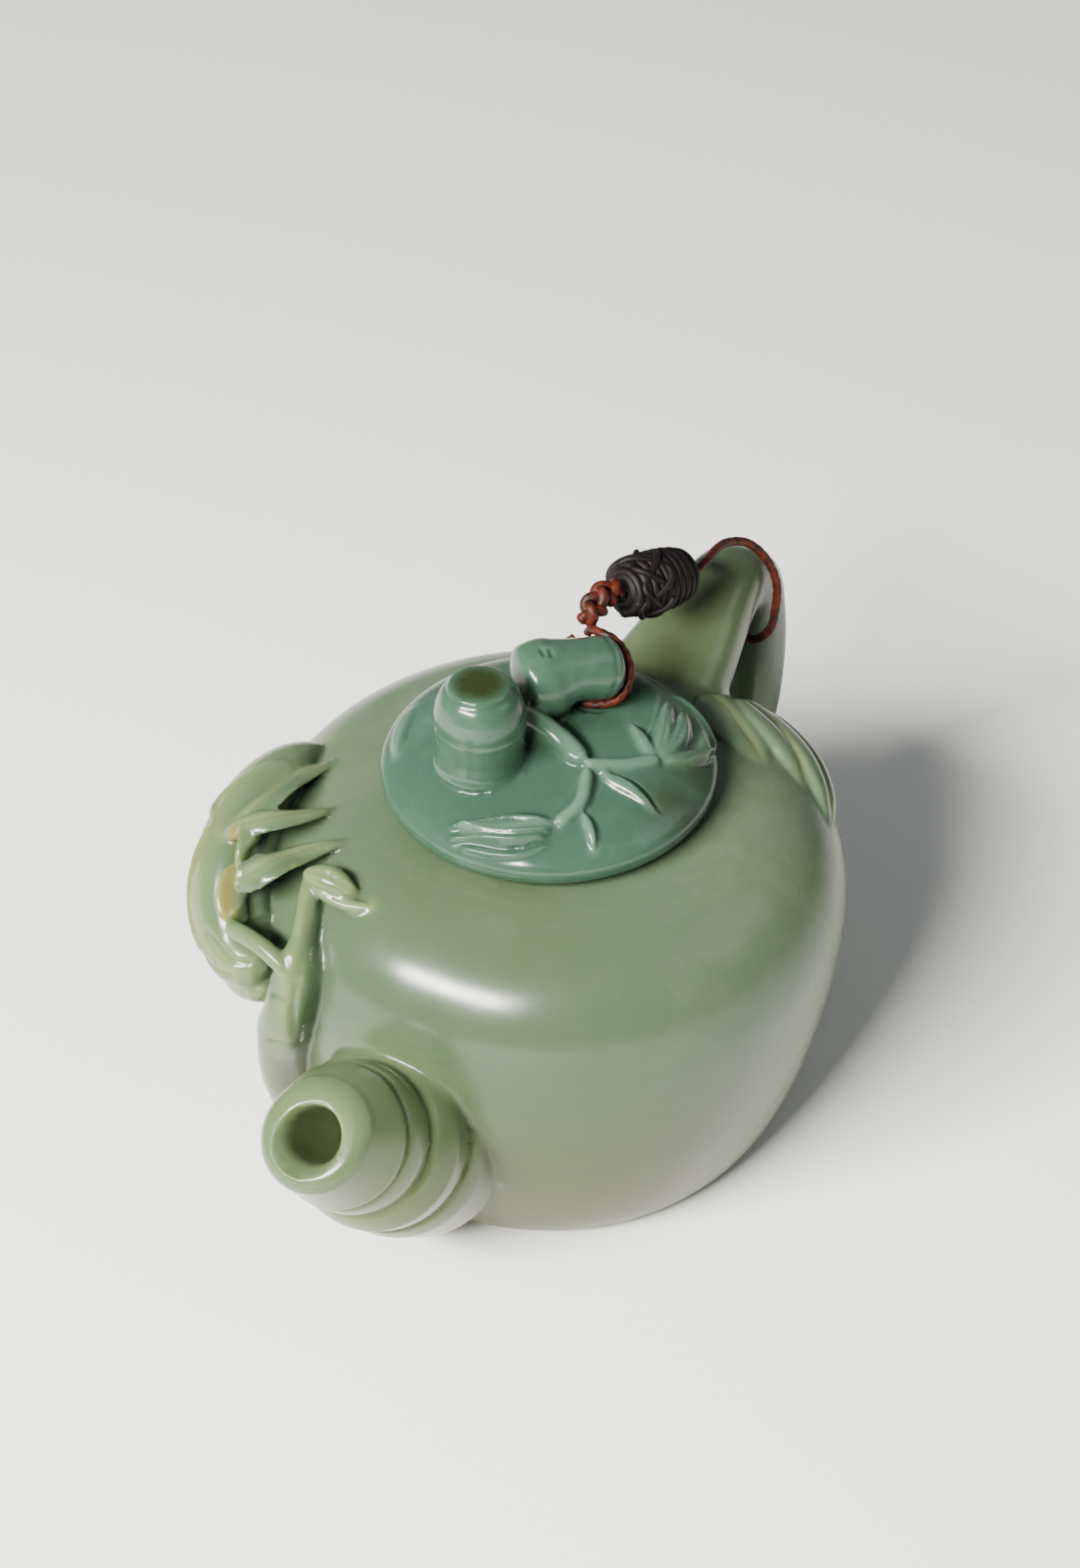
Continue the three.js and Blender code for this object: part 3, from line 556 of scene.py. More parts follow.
def free_twig(steps=80):
    centres, rise = on_pot(over_segments(lifted(FREE_TWIG), steps + 1))
    centres *= MM
    along, side, rise = frames_along(centres)
    tapered = round_shape(lambda k, angle: FREE_TWIG_RADIUS * MM * blunt(k / steps, 0.12))
    return swept(centres, side, rise, 14, tapered)


def pot_carving():
    forms = [
        relief(on_pot, lifted(STEM), 4.6, stem_outline),
        relief(on_pot, lifted(LOBE), 8.0, lambda t: blunt(t, 0.25)),
        relief(on_pot, lifted(BUD), 4.4, lambda t: blunt(t, 0.4)),
        free_twig(),
    ]
    for points, wide in POT_LEAVES:
        forms.append(relief(on_pot, lifted(points), LEAF_WIDTH * wide, leaf_outline, thick=1.3, crease=0.5,
                            sharp=True))
    for points, wide in SHOULDER_LEAVES:
        forms.append(relief(on_pot, lifted(points), LEAF_WIDTH * wide, leaf_outline, crease=0.45))
    return forms


# %% [markdown]
# ## The spout
# The spout is a stout bamboo shoot. Its sheaths overlap like rings, with a fine groove at each edge, and its
# lower lip reaches out past the upper one. It is turned upright, as on a lathe, and then laid in its place.

# %% Spout
SPOUT_REACH, SPOUT_TIP_HEIGHT, SPOUT_SLOPE = 42.0, 28.5, 42.0
SPOUT_TIP_RADIUS, SPOUT_BORE_RADIUS, SPOUT_LIP_RADIUS, SPOUT_LIP_DEPTH = 5.2, 2.5, 3.0, 1.6
SPOUT_RINGS = [(6.8, 7.0), (10.8, 8.5), (16.4, 9.1)]
LOWER_LIP = 1.1
slope = math.radians(SPOUT_SLOPE)
spout_in = Vector((math.cos(slope), 0, -math.sin(slope)))
spout_turn = Vector((0, 0, 1)).rotation_difference(spout_in).to_matrix().to_4x4()
spout_place = Matrix.Translation(Vector((-SPOUT_REACH, 0, SPOUT_TIP_HEIGHT)) * MM) @ spout_turn


def laid_in_place(form):
    bmesh.ops.transform(form, matrix=spout_place, verts=form.verts)
    return form


def spout():
    tip = SPOUT_TIP_RADIUS
    profile = [(0, 0), (tip - 2, 0), (tip - 1.1, 0.12), (tip - 0.5, 0.5), (tip, 1.2), (tip + 0.16, 2.0),
               (tip + 0.5, 3.1), (tip + 0.95, 4.6)]
    before = SPOUT_RINGS[0][1] - 0.4
    for i, (place, radius) in enumerate(SPOUT_RINGS):
        profile += [(before - 0.02, place - 0.95), (before, place - 0.5), (before - 0.06, place - 0.22),
                    (before - 0.2, place), (before - 0.04, place + 0.2),
                    (before + 0.3 * (radius - before), place + 0.5)]
        after = SPOUT_RINGS[i + 1][0] if i + 1 < len(SPOUT_RINGS) else place + 5
        profile += [(before + 0.7 * (radius - before), place + 0.3 * (after - place)),
                    (radius, (place + after) / 2)]
        before = radius
    root = (SPOUT_REACH - 0.85 * BELLY_RADIUS) / spout_in.x
    form = turned(profile + [(SPOUT_RINGS[-1][1], root), (0, root)], 72)
    for vert in form.verts:
        fade = 1 - smooth(vert.co.z, 0, 5 * MM)
        vert.co.z -= LOWER_LIP * vert.co.x / tip * fade
    return laid_in_place(form)


def spout_bore():
    lip, bore = SPOUT_LIP_RADIUS, SPOUT_BORE_RADIUS
    depth = (SPOUT_REACH - BELLY_RADIUS + WALL) / spout_in.x + 6
    profile = [(0, -2), (lip + 1.5, -2), (lip + 0.9, -0.7), (lip + 0.3, -0.1), (lip - 0.1, 0.4),
               (bore + 0.12, 0.75 * SPOUT_LIP_DEPTH), (bore, SPOUT_LIP_DEPTH + 0.4), (bore, depth), (0, depth)]
    return laid_in_place(turned(profile, 48))


# %% [markdown]
# ## The handle
# The handle is a flat band. It leaves the shoulder as a wide ramp, narrows over its crest, and comes home
# low on the body. Its section is a rectangle with very round corners, which one power of the angle gives.

# %% Handle
HANDLE_LINE = [(18.3, 33.0), (24.3, 35.0), (30.0, 37.1), (35.4, 38.2), (39.0, 36.27), (40.6, 31.3),
               (41.0, 24.95), (39.4, 18.88), (35.0, 13.64), (28.5, 10.6), (21.3, 10.2)]
HANDLE_WIDTH, HANDLE_THICKNESS, HANDLE_ROOT_WIDTH, HANDLE_HEEL_WIDTH = 7.0, 7.0, 13.0, 9.6
HANDLE_CORNER = 2.6


def handle(steps=110):
    line = over_segments([(x, 0, z) for x, z in HANDLE_LINE], steps + 1) * MM
    along = unit(np.gradient(line, axis=0))
    side = np.tile((0, 1.0, 0), (steps + 1, 1))
    rise = np.cross(along, side)

    def shape(k, angle):
        t = k / steps
        root = smooth(0.36 - t, 0, 0.36)
        width = (HANDLE_WIDTH + (HANDLE_ROOT_WIDTH - HANDLE_WIDTH) * root
                 + (HANDLE_HEEL_WIDTH - HANDLE_WIDTH) * smooth(t, 0.7, 1))
        thick = HANDLE_THICKNESS + 0.8 * root
        c, s = math.cos(angle), math.sin(angle)
        corner = (abs(c) ** HANDLE_CORNER + abs(s) ** HANDLE_CORNER) ** (-1 / HANDLE_CORNER)
        return width / 2 * MM * c * corner, thick / 2 * MM * s * corner

    return swept(line, side, rise, 48, shape)


# %% [markdown]
# ## The body and its hollow
# Body and hollow are turned forms. The hollow follows the outline a wall's thickness further in, so that the
# pot has an even wall, and it opens straight upwards through the mouth.

# %% Body and hollow
def pot_body():
    profile = [(0, 0), (FOOT_RADIUS - FOOT_CHAMFER, 0), (FOOT_RADIUS - 0.25, 0.2), (FOOT_RADIUS, FOOT_CHAMFER)]
    profile += [tuple(p) for p in OUTLINE if p[1] > FOOT_CHAMFER + 0.3]
    return turned(profile + [(0, SEAT_HEIGHT)], 144)


def pot_hollow():
    r, z, dr, dz = outline_at(np.linspace(0.08, 0.93, 40) * PASSED[-1])
    inside = np.stack([r - WALL * dz, z + WALL * dr], 1)
    inside = [tuple(p) for p in inside if p[1] > FLOOR + 0.5 and p[0] > MOUTH_RADIUS]
    neck = SEAT_HEIGHT - WALL
    profile = [(0, FLOOR), (inside[0][0] - 2, FLOOR)] + inside
    profile += [(MOUTH_RADIUS, neck), (MOUTH_RADIUS, SEAT_HEIGHT - 0.4), (MOUTH_RADIUS + 0.5, SEAT_HEIGHT + 1),
                (0, SEAT_HEIGHT + 1)]
    return turned(profile, 96)


# %% [markdown]
# ## Where forms meet
# The carver cuts body, spout, handle and branch out of one stone, so they flow into each other. To smooth
# the junctions alone, the script finds where each form's edges pass through the body, and measures how near
# every vertex of the finished skin is to those marks.

# %% Junctions
BLOCK = 20000


def depth_in_body(points):
    """How far points in mm are outside the turned body, less than zero inside it."""
    flat = np.stack([np.hypot(points[:, 0], points[:, 1]), points[:, 2]], 1)
    away = np.empty(len(flat))
    for i in range(0, len(flat), BLOCK):
        block = flat[i:i + BLOCK]
        away[i:i + BLOCK] = np.sqrt(((block[:, None, :] - OUTLINE[None, ::3, :]) ** 2).sum(2).min(1))
    radius = np.interp(flat[:, 1], OUTLINE[:, 1], OUTLINE[:, 0])
    inside = (flat[:, 0] < radius) & (flat[:, 1] > 0) & (flat[:, 1] < SEAT_HEIGHT)
    return np.where(inside, -away, away)


def crossings(form):
    """Where a form's edges pass through the body's surface, in mm."""
    form.verts.index_update()
    points = np.array([v.co for v in form.verts]) / MM
    pairs = np.array([[v.index for v in edge.verts] for edge in form.edges])
    depth = depth_in_body(points)
    a, b = depth[pairs[:, 0]], depth[pairs[:, 1]]
    cut = a * b < 0
    part = (a[cut] / (a[cut] - b[cut]))[:, None]
    return points[pairs[cut, 0]] * (1 - part) + points[pairs[cut, 1]] * part


def tree_of(marks):
    tree = KDTree(len(marks))
    for i, mark in enumerate(marks):
        tree.insert(mark, i)
    tree.balance()
    return tree


def nearness(vertices, marks, reach):
    """1 at the marks, fading to 0 at a reach from them."""
    tree = tree_of(marks)
    away = np.array([tree.find(v)[2] for v in vertices])
    t = np.clip(1 - away / reach, 0, 1)
    return t * t * (3 - 2 * t)


# %% [markdown]
# ## Fine lines and tints by place
# The last cuts are too fine for a form of their own. They are engraved: vertices near a line are pushed in
# along the surface's way out, or pulled out for a ridge. Where light shows through thin stone, where shade
# falls, or where the stone is darker or amber, a number is written for each vertex, which the material turns
# into a tint.

# %% Engrave and paint
LINE_STEPS = 120
LINE_FADE = 12


def vertices_of(piece):
    points = np.empty(len(piece.data.vertices) * 3)
    piece.data.vertices.foreach_get("co", points)
    return points.reshape(-1, 3)


def within(skin, marks, reach):
    """The numbers of the vertices in a box that reaches so far past the marks."""
    return np.nonzero(((skin > marks.min(0) - reach) & (skin < marks.max(0) + reach)).all(1))[0]


def engrave(piece, place, lines):
    """Cut fine lines into a skin, or raise them where the depth is negative. Sizes in mm."""
    step = np.arange(LINE_STEPS)
    ends = np.minimum(1, np.minimum(step, step[::-1]) / LINE_FADE + 0.1)
    for points, half_width, depth in lines:
        centres, rise = place(over_segments(points, LINE_STEPS))
        skin = vertices_of(piece) / MM
        tree = tree_of(centres)
        for i in within(skin, centres, 1.6):
            _, k, away = tree.find(skin[i])
            if away > 2.2:
                continue
            offset = skin[i] - centres[k]
            flat = np.linalg.norm(offset - (offset @ rise[k]) * rise[k])
            if flat < 2 * half_width:
                skin[i] -= depth * ends[k] * math.exp(-((flat / half_width) ** 2)) * rise[k]
        piece.data.vertices.foreach_set("co", (skin * MM).ravel())
    piece.data.update()


def paint(piece, label, spots):
    """Write a value for each vertex: the greatest of the spots' strengths there. Sizes in mm."""
    skin = vertices_of(piece) / MM
    value = np.zeros(len(skin))
    for marks, reach, strength in spots:
        marks = np.asarray(marks, float)
        near = within(skin, marks, reach)
        value[near] = np.maximum(value[near], strength * nearness(skin[near], marks, reach))
    layer = piece.data.attributes.new(label, "FLOAT", "POINT")
    layer.data.foreach_set("value", np.minimum(value, 1))
    print(piece.name, label, "on", int((value > 0.05).sum()), "of", len(value), "vertices")


def crest(place, points, count):
    """Places along a line on a surface."""
    return place(over_segments(points, count))[0]


# %% [markdown]
# ## One piece of jade
# The pot's forms are laid over one another and remeshed into a single skin. A smooth pass that is strong
# only at the junctions turns their sharp meeting lines into the rounded hollows that polishing leaves. The
# lid is made by the same steps, so each step is a function.

# %% Steps that make one piece
def one_skin(piece, voxel):
    remesh = piece.modifiers.new("one skin", "REMESH")
    remesh.mode, remesh.voxel_size = "VOXEL", voxel


def polish(piece, times, group=""):
    ease = piece.modifiers.new("polish", "SMOOTH")
    ease.factor, ease.iterations, ease.vertex_group = 0.5, times, group


def hollow_out(piece, forms):
    cutter = add_object("cutter", together(forms))
    cut = piece.modifiers.new("hollow", "BOOLEAN")
    cut.operation, cut.object, cut.solver = "DIFFERENCE", cutter, "EXACT"
    settle(piece)
    bpy.data.objects.remove(cutter)


def triangles(piece):
    return sum(len(polygon.vertices) - 2 for polygon in piece.data.polygons)


def lighten(piece, most):
    thin = piece.modifiers.new("lighten", "DECIMATE")
    thin.ratio = min(1, most / triangles(piece))
    settle(piece)
    piece.data.shade_smooth()
    print(piece.name, triangles(piece), "triangles")


# %% The pot's skin
POT_VOXEL = 0.2 * MM
POT_TRIANGLES = 190000
BIG_JUNCTION, FINE_JUNCTION = (3.4, 1.0), (1.1, 0.12)
spout_form, handle_form, carving_forms = spout(), handle(), pot_carving()
big_marks = np.vstack([crossings(spout_form), crossings(handle_form)])
fine_marks = np.vstack([crossings(form) for form in carving_forms])
pot = add_object("pot_jade", together([pot_body(), spout_form, handle_form, *carving_forms]))
one_skin(pot, POT_VOXEL)
settle(pot)
skin = vertices_of(pot) / MM
junction = pot.vertex_groups.new(name="junction")
for marks, (reach, strength) in ((big_marks, BIG_JUNCTION), (fine_marks, FINE_JUNCTION)):
    weight = nearness(skin, marks, reach) * strength
    for i in np.nonzero(weight > 0.02)[0]:
        junction.add([int(i)], float(weight[i]), "REPLACE" if strength == 1.0 else "ADD")
polish(pot, 60, "junction")
polish(pot, 2)
settle(pot)
print("pot skin:", len(skin), "vertices, junction marks", len(big_marks), len(fine_marks))

# %% [markdown]
# ## The pot's fine lines
# The folded lobe has two ridges with an amber slot between them, and a pocket at its lower end. The stem has
# a crease and two node marks, and each sheath of the spout ends in a double line. The hollow is cut last, so
# that the polish can't round the mouth.

# %% Lines on the branch
OUTER_RIDGE = [(126, 73.2, 5.6), (128, 70.5, 6.0), (130.5, 67.5, 6.2), (133.5, 64, 6.2), (137, 62.2, 6.0),
               (141, 61, 5.2)]
INNER_RIDGE = [(131, 77.5, 6.0), (137, 76.2, 6.2), (140.5, 74, 6.3), (143.5, 71, 6.2), (147, 68.7, 5.8)]
SLOT = [(132, 75.5, 6.2), (134, 75, 6.3), (138, 73, 6.4), (141, 71, 6.4), (143.5, 68.7, 6.2), (144.5, 67.2, 6)]
LOBE_TOP = [(124, 73, 5.4), (120, 72.7, 5), (117, 77.7, 3.8), (113.5, 83.5, 2.5)]
STEM_CREASE = [(158.5, 48.7, 3.6), (161, 59.5, 3.8), (161, 66.5, 3.8), (159.5, 71.5, 3.6),
               (156.5, 75.7, 3.3), (151.5, 79.7, 2.9)]
POT_LINES = [
    (SLOT, 0.6, 1.5), (OUTER_RIDGE, 0.45, -0.35), (INNER_RIDGE, 0.4, -0.35), (LOBE_TOP, 0.4, -0.35),
    (STEM_CREASE, 0.28, 0.3),
    ([(150, 64, 5), (146, 63.5, 5.4), (140, 64.5, 5.9)], 0.35, 0.4),
    ([(148, 61, 4.6), (143, 60, 4.8), (138, 60, 4.8)], 0.35, 0.4),
    ([(155.6, 52.5, 3.8), (158.5, 53.2, 3.8), (161.5, 52.6, 3.4)], 0.25, 0.25),
    ([(157, 63.5, 3.8), (159.5, 64.2, 3.8), (162, 63.6, 3.4)], 0.25, 0.25),
]
engrave(pot, on_pot, POT_LINES)


# %% Lines on the spout, and the hollow
def on_spout(rows):
    """Places in mm over the spout, from rows of angle round it, distance from the tip and radius."""
    angle, out = np.radians(rows[:, 0]), rows[:, 2:3]
    local = np.stack([np.cos(angle), np.sin(angle), 0 * angle], 1)
    turn = np.array(spout_place.to_3x3())
    places = (local * out + np.outer(rows[:, 1], (0, 0, 1))) @ turn.T
    return np.array(spout_place.translation) / MM + places, local @ turn.T


SHEATH_LINES = []
for place, radius in SPOUT_RINGS:
    for shift, depth in ((-0.55, 0.22), (-0.05, 0.28)):
        ring = [(angle, place + shift, radius) for angle in range(-178, 179, 12)]
        SHEATH_LINES.append((ring, 0.2, depth))
engrave(pot, on_spout, SHEATH_LINES)
hollow_out(pot, [pot_hollow(), spout_bore()])
lighten(pot, POT_TRIANGLES)

# %% [markdown]
# ## Tints of the pot
# Light comes through the spout's end, the free twig, the lobe and the leaves, so they get a painted glow, a
# paler tint named thin. The slot's floor is amber, and the crest of the handle, shaded by the bead, gets
# painted shade.

# %% Paint the pot
SLOT_FLOOR = (0, 0, 1.0)
bore_line = [tuple((spout_place @ Vector((0, 0, depth * MM))) / MM) for depth in np.linspace(0, 16, 14)]
ramp_line = over_segments([(x, 0, z) for x, z in HANDLE_LINE[:3]], 20)
crest_line = over_segments([(x, 0, z) for x, z in HANDLE_LINE[1:6]], 20)
# Painted glow: a paler tint where light comes through the spout, the handle's root, the stem, the twig, the
# lobe, the bud and the leaves.
paint(pot, "thin", [
    (bore_line, 4.2, 0.8), (bore_line[5:], 12, 0.75), (ramp_line, 9, 0.4),
    (crest(on_pot, STEM_CREASE, 30), 2.6, 0.6), (crest(on_pot, lifted(FREE_TWIG), 30), 1.6, 0.7),
    (crest(on_pot, lifted(LOBE), 30), 4.4, 0.55), (crest(on_pot, lifted(BUD), 12), 2.6, 0.5),
    *((crest(on_pot, lifted(points), 20)[:-3], 1.4, 0.55) for points, _ in POT_LEAVES + SHOULDER_LEAVES),
])
paint(pot, "amber", [
    (on_pot(over_segments(SLOT, 20) - SLOT_FLOOR)[0], 1.5, 0.85),
    (crest(on_pot, OUTER_RIDGE, 20), 2.2, 0.22),
])
# Painted shadow: the handle's crest is darkened where the bead shades it.
paint(pot, "shade", [(crest_line, 8, 0.95)])

# %% [markdown]
# ## The lid
# The lid is a thick pebble over a locating ring, with a dish cut into its underside. All three are turned
# forms on the pot's own axis.

# %% Plate, ring and dish
RING_DEPTH, RING_WALL, RING_RADIUS = 3.4, 2.2, MOUTH_RADIUS - 0.4


def lid_plate():
    profile = [(0, LID_UNDER), (LID_RADIUS - LID_EDGE, LID_UNDER)]
    for angle in np.radians(np.linspace(-78, 0, 10)):
        profile.append((LID_RADIUS - LID_EDGE + LID_EDGE * math.cos(angle),
                        LID_WIDEST + LID_EDGE * math.sin(angle)))
    for angle in np.radians(np.linspace(4, 86, 26)):
        profile.append((LID_RADIUS * math.cos(angle), LID_WIDEST + LID_RISE * math.sin(angle)))
    return turned(profile + [(0, LID_WIDEST + LID_RISE)], 120)


def lid_ring():
    low = LID_UNDER - RING_DEPTH
    return turned([(0, low), (RING_RADIUS - 0.5, low), (RING_RADIUS - 0.15, low + 0.15),
                   (RING_RADIUS, low + 0.5), (RING_RADIUS, LID_UNDER + 1), (0, LID_UNDER + 1)], 96)


def lid_dish():
    low, inner = LID_UNDER - RING_DEPTH - 1, RING_RADIUS - RING_WALL
    return turned([(0, low), (inner + 0.6, low), (inner + 0.1, low + 1.2), (inner, LID_UNDER - 0.6),
                   (inner - 0.8, LID_UNDER + 0.1), (0, LID_UNDER + 1.2)], 80)


# %% [markdown]
# ## The knob
# The knob is a bamboo stump beside a bent bamboo arch. The stump is turned too: a swollen foot, a ring of two
# fine grooves, and a raised disc where the stem is cut. The arch is three rods: a thick one that swells and
# has its own ring, and two legs that it stands on.

# %% Stump
STUMP_X, STUMP_Y, STUMP_RADIUS, STUMP_HEIGHT, STUMP_TOP_RADIUS, STUMP_RING_DROP = -6.3, 3.6, 4.2, 9.6, 2.9, 4.0
STUMP_SINK = 0.9
STUMP_FOOT = on_lid(np.array([(STUMP_X, STUMP_Y, 0)]))[0][0]


def stump():
    base, top = STUMP_FOOT[2] - 1.6, STUMP_FOOT[2] + STUMP_HEIGHT - STUMP_SINK
    ring, r = top - STUMP_RING_DROP, STUMP_RADIUS
    disc = STUMP_TOP_RADIUS
    profile = [(0, base), (r - 0.1, base), (r - 0.1, base + 1.0), (r + 0.25, base + 1.5),
               (r - 0.05, base + 2.2), (r - 0.15, base + 3.4), (r - 0.05, ring - 0.9), (r + 0.05, ring - 0.5),
               (r - 0.05, ring - 0.3),
               (r - 0.22, ring - 0.15), (r + 0.02, ring), (r - 0.22, ring + 0.15), (r, ring + 0.3),
               (r, ring + 0.9), (r - 0.18, top - 2.2), (r - 0.5, top - 1.3), (disc + 0.45, top - 0.75),
               (disc + 0.1, top - 0.5), (disc, top - 0.1), (disc - 0.2, top + 0.05), (0, top + 0.15)]
    form = turned(profile, 72)
    bmesh.ops.translate(form, vec=Vector((STUMP_X, STUMP_Y, 0)) * MM, verts=form.verts)
    return form


# %% Arch
ARCH_RADIUS, ARCH_LEG_RADIUS = 2.9, 2.1
ARCH_TOP = LID_WIDEST + LID_RISE + 3.6


def rod(points, radius_at, rounding, steps=60):
    line = through(np.array(points) * MM, steps + 1)
    along, side, rise = frames_along(line)
    tapered = round_shape(lambda k, angle: radius_at(k / steps) * blunt(k / steps, rounding) * MM)
    return swept(line, side, rise, 32, tapered)


BULB_SHAPE = through([(0, 2.2, 0), (0.08, 3.1, 0), (0.2, 3.75, 0), (0.33, 3.8, 0), (0.46, 3.3, 0),
                      (0.56, 3.0, 0), (0.7, 2.95, 0), (0.8, 3.05, 0), (0.83, 2.9, 0), (0.86, 3.05, 0),
                      (0.94, 3.0, 0), (1, 2.7, 0)], 200)


def bulb(t):
    """The thick rod's radius at a share of its length."""
    return float(np.interp(t, BULB_SHAPE[:, 0], BULB_SHAPE[:, 1]))


def arch():
    top = ARCH_TOP
    bar = rod([(0.3, 4.0, top - 0.7), (2.6, 2.0, top - 0.2), (4.2, 0.4, top + 0.2), (5.8, -0.9, top - 0.1),
               (8.2, -2.4, top - 1.0)], bulb, 0.14)
    front = rod([(2.7, 1.2, top - 7.2), (2.6, 1.5, top - 3.5), (2.7, 1.9, top - 0.4)],
                lambda t: ARCH_LEG_RADIUS, 0.1)
    behind = rod([(6.4, -1.0, top - 0.9), (8.2, -0.4, top - 2.2), (9.8, 0.4, top - 4.4),
                  (10.4, 0.8, top - 7.0)],
                 lambda t: ARCH_RADIUS - (ARCH_RADIUS - ARCH_LEG_RADIUS) * t, 0.12)
    return [bar, front, behind]


# %% [markdown]
# ## The carving on the lid
# A twig forks at the knob's foot and ends in two sprays of leaves, and one leaf lies behind the knob. Each
# row is x, y and height over the dome. Extra ridges part a broad leaf into the narrow blades of a spray.

# %% Places of the carving on the lid
LID_TWIGS = [
    ([(-3.6, 2.9, 5.0), (-1.9, 1.2, 3.6), (-1.4, -1.8, 1.9), (-2.6, -5.2, 1.1)], 2.3),
    ([(-2.9, -5.4, 1.0), (-0.4, -8.5, 0.8), (2.3, -10.3, 0.6)], 1.7),
    ([(-3.2, -5.9, 1.0), (-6.9, -7.2, 0.8), (-9.9, -6.5, 0.6)], 1.4),
]
LID_LEAVES = [
    ([(2.0, -10.0, 0.6), (3.6, -7.6, 0.8), (5.5, -5.4, 0.1)], 1.5),
    ([(2.2, -10.2, 0.6), (6.4, -8.6, 0.9), (12.2, -6.0, 0.1)], 2.0),
    ([(2.3, -10.4, 0.6), (6.6, -10.1, 0.9), (11.8, -7.8, 0.1)], 2.2),
    ([(2.3, -10.8, 0.6), (6.0, -12.6, 0.8), (10.6, -10.4, 0.1)], 2.0),
    ([(-2.9, -7.1, 0.6), (-2.8, -9.9, 0.8), (-3.4, -14.0, 0.1)], 1.6),
    ([(-7.6, -7.9, 0.6), (-9.0, -9.5, 0.8), (-10.5, -10.8, 0.1)], 1.1),
    ([(-9.9, -6.3, 0.6), (-12.6, -2.9, 0.9), (-14.3, 2.4, 0.1)], 3.4),
    ([(-0.7, 14.2, 0.2), (-4.9, 13.1, 0.6), (-9.2, 11.2, 0.1)], 1.6),
]
LID_LINES = [
    ([(-10.2, -5.9, 0.8), (-11.5, -2.5, 0.9), (-13.2, 0.6, 0.4), (-14.1, 2.3, 0)], 0.28, -0.4),
    ([(-10.7, -6.6, 0.7), (-12.5, -3.7, 0.9), (-13.4, -0.7, 0.6), (-13.4, 1.9, 0.3)], 0.28, -0.4),
    ([(-11.4, -6.6, 0.6), (-13.2, -3.8, 0.6), (-14.1, -1.0, 0.4), (-14.9, 2.0, 0)], 0.28, -0.4),
    ([(-11.9, -7.0, 0.3), (-13.8, -5.0, 0.3), (-14.8, -2.4, 0.2), (-15.2, 0.4, 0)], 0.28, -0.4),
    ([(3.0, -12.4, 0.2), (8.7, -12.6, 0.1), (12.4, -8.8, 0), (12.9, -6.0, 0)], 0.26, -0.35),
    ([(4.0, -8.0, 0.4), (7.0, -7.2, 0.3), (11.6, -5.4, 0)], 0.22, -0.25),
    ([(-2.2, -7.3, 0.4), (-1.9, -10.2, 0.3), (-2.9, -13.6, 0)], 0.22, 0.25),
]


def lid_carving():
    twigs = [relief(on_lid, points, width, lambda t: blunt(t, 0.15)) for points, width in LID_TWIGS]
    leaves = [relief(on_lid, points, width, leaf_outline, crease=0.55, sharp=True)
              for points, width in LID_LEAVES]
    return twigs + leaves


# %% [markdown]
# ## The lid as one piece
# The lid goes through the pot's steps: one skin, a light polish, fine lines, and then the cuts. The eye is cut
# along the cord's own route, so the cord runs through it. Two short marks are cut on the arch's bulb.

# %% The lid's skin
LID_VOXEL = 0.19 * MM
LID_TRIANGLES = 150000
EYE_RADIUS, EYE_FIRST, EYE_LAST = 0.85, 7, 11
BULB_CENTRE, BULB_RADIUS = np.array((2.3, 2.3, ARCH_TOP - 0.3)), 3.75
lid = add_object("lid_jade", together([lid_plate(), lid_ring(), stump(), *arch(), *lid_carving()]))
one_skin(lid, LID_VOXEL)
polish(lid, 3)
settle(lid)
engrave(lid, on_lid, LID_LINES)


def on_bulb(rows):
    """Places in mm over the bulb, from rows of how far right and up, as shares of its radius, and lift."""
    deep = np.sqrt(1 - rows[:, 0] ** 2 - rows[:, 1] ** 2)
    rise = np.outer(rows[:, 0], right) + np.outer(rows[:, 1], up) + np.outer(deep, back)
    return BULB_CENTRE + (BULB_RADIUS + rows[:, 2:3]) * rise, rise


engrave(lid, on_bulb, [([(0.02, 0.76, 0), (0.08, 0.66, 0), (0.12, 0.54, 0)], 0.22, 0.3),
                       ([(0.2, 0.74, 0), (0.26, 0.64, 0), (0.3, 0.52, 0)], 0.22, 0.3)])
eye = rod(KNOB_LOOP[EYE_FIRST:EYE_LAST + 1], lambda t: EYE_RADIUS, 0.08)
hollow_out(lid, [lid_dish(), eye])
lighten(lid, LID_TRIANGLES)

# %% Paint the lid
DARK_PATCH = np.array([(-1.0, -14.0, 0.0), (4, -13.6, 0)])
stump_top = STUMP_FOOT + (0, 0, STUMP_HEIGHT - STUMP_SINK)
paint(lid, "shade", [([stump_top], 3.4, 2.0), (on_lid(DARK_PATCH)[0], 5.5, 0.7)])
paint(lid, "amber", [([stump_top - (0, 0, 6)], 5, 0.3)])
# Painted glow: a paler tint along the lid's twigs and leaves and round the stump's shoulder.
paint(lid, "thin", [
    *((crest(on_lid, points, 20), 1.3, 0.6) for points, _ in LID_TWIGS),
    *((crest(on_lid, points, 20)[:-3], 1.1, 0.5) for points, _ in LID_LEAVES),
    ([stump_top - (0, 0, 3)], 4.6, 0.25),
])

# %% [markdown]
# ## Materials
# Jade is a fine felt of fibres: light goes a little way in, and clouds of other tints float in it. The
# clouds, the polish and the thread's fibres are node groups, so each look is mixed from the same parts.
# These helpers add single nodes.

# %% Node helpers
def new_group(name, inputs, outputs):
    tree = bpy.data.node_groups.new(name, "ShaderNodeTree")
    for label, default in inputs.items():
        made = tree.interface.new_socket(label, in_out="INPUT", socket_type="NodeSocketFloat")
        made.default_value = default
    for label in outputs:
        tree.interface.new_socket(label, in_out="OUTPUT", socket_type="NodeSocketFloat")
    return tree, tree.nodes.new("NodeGroupInput"), tree.nodes.new("NodeGroupOutput")


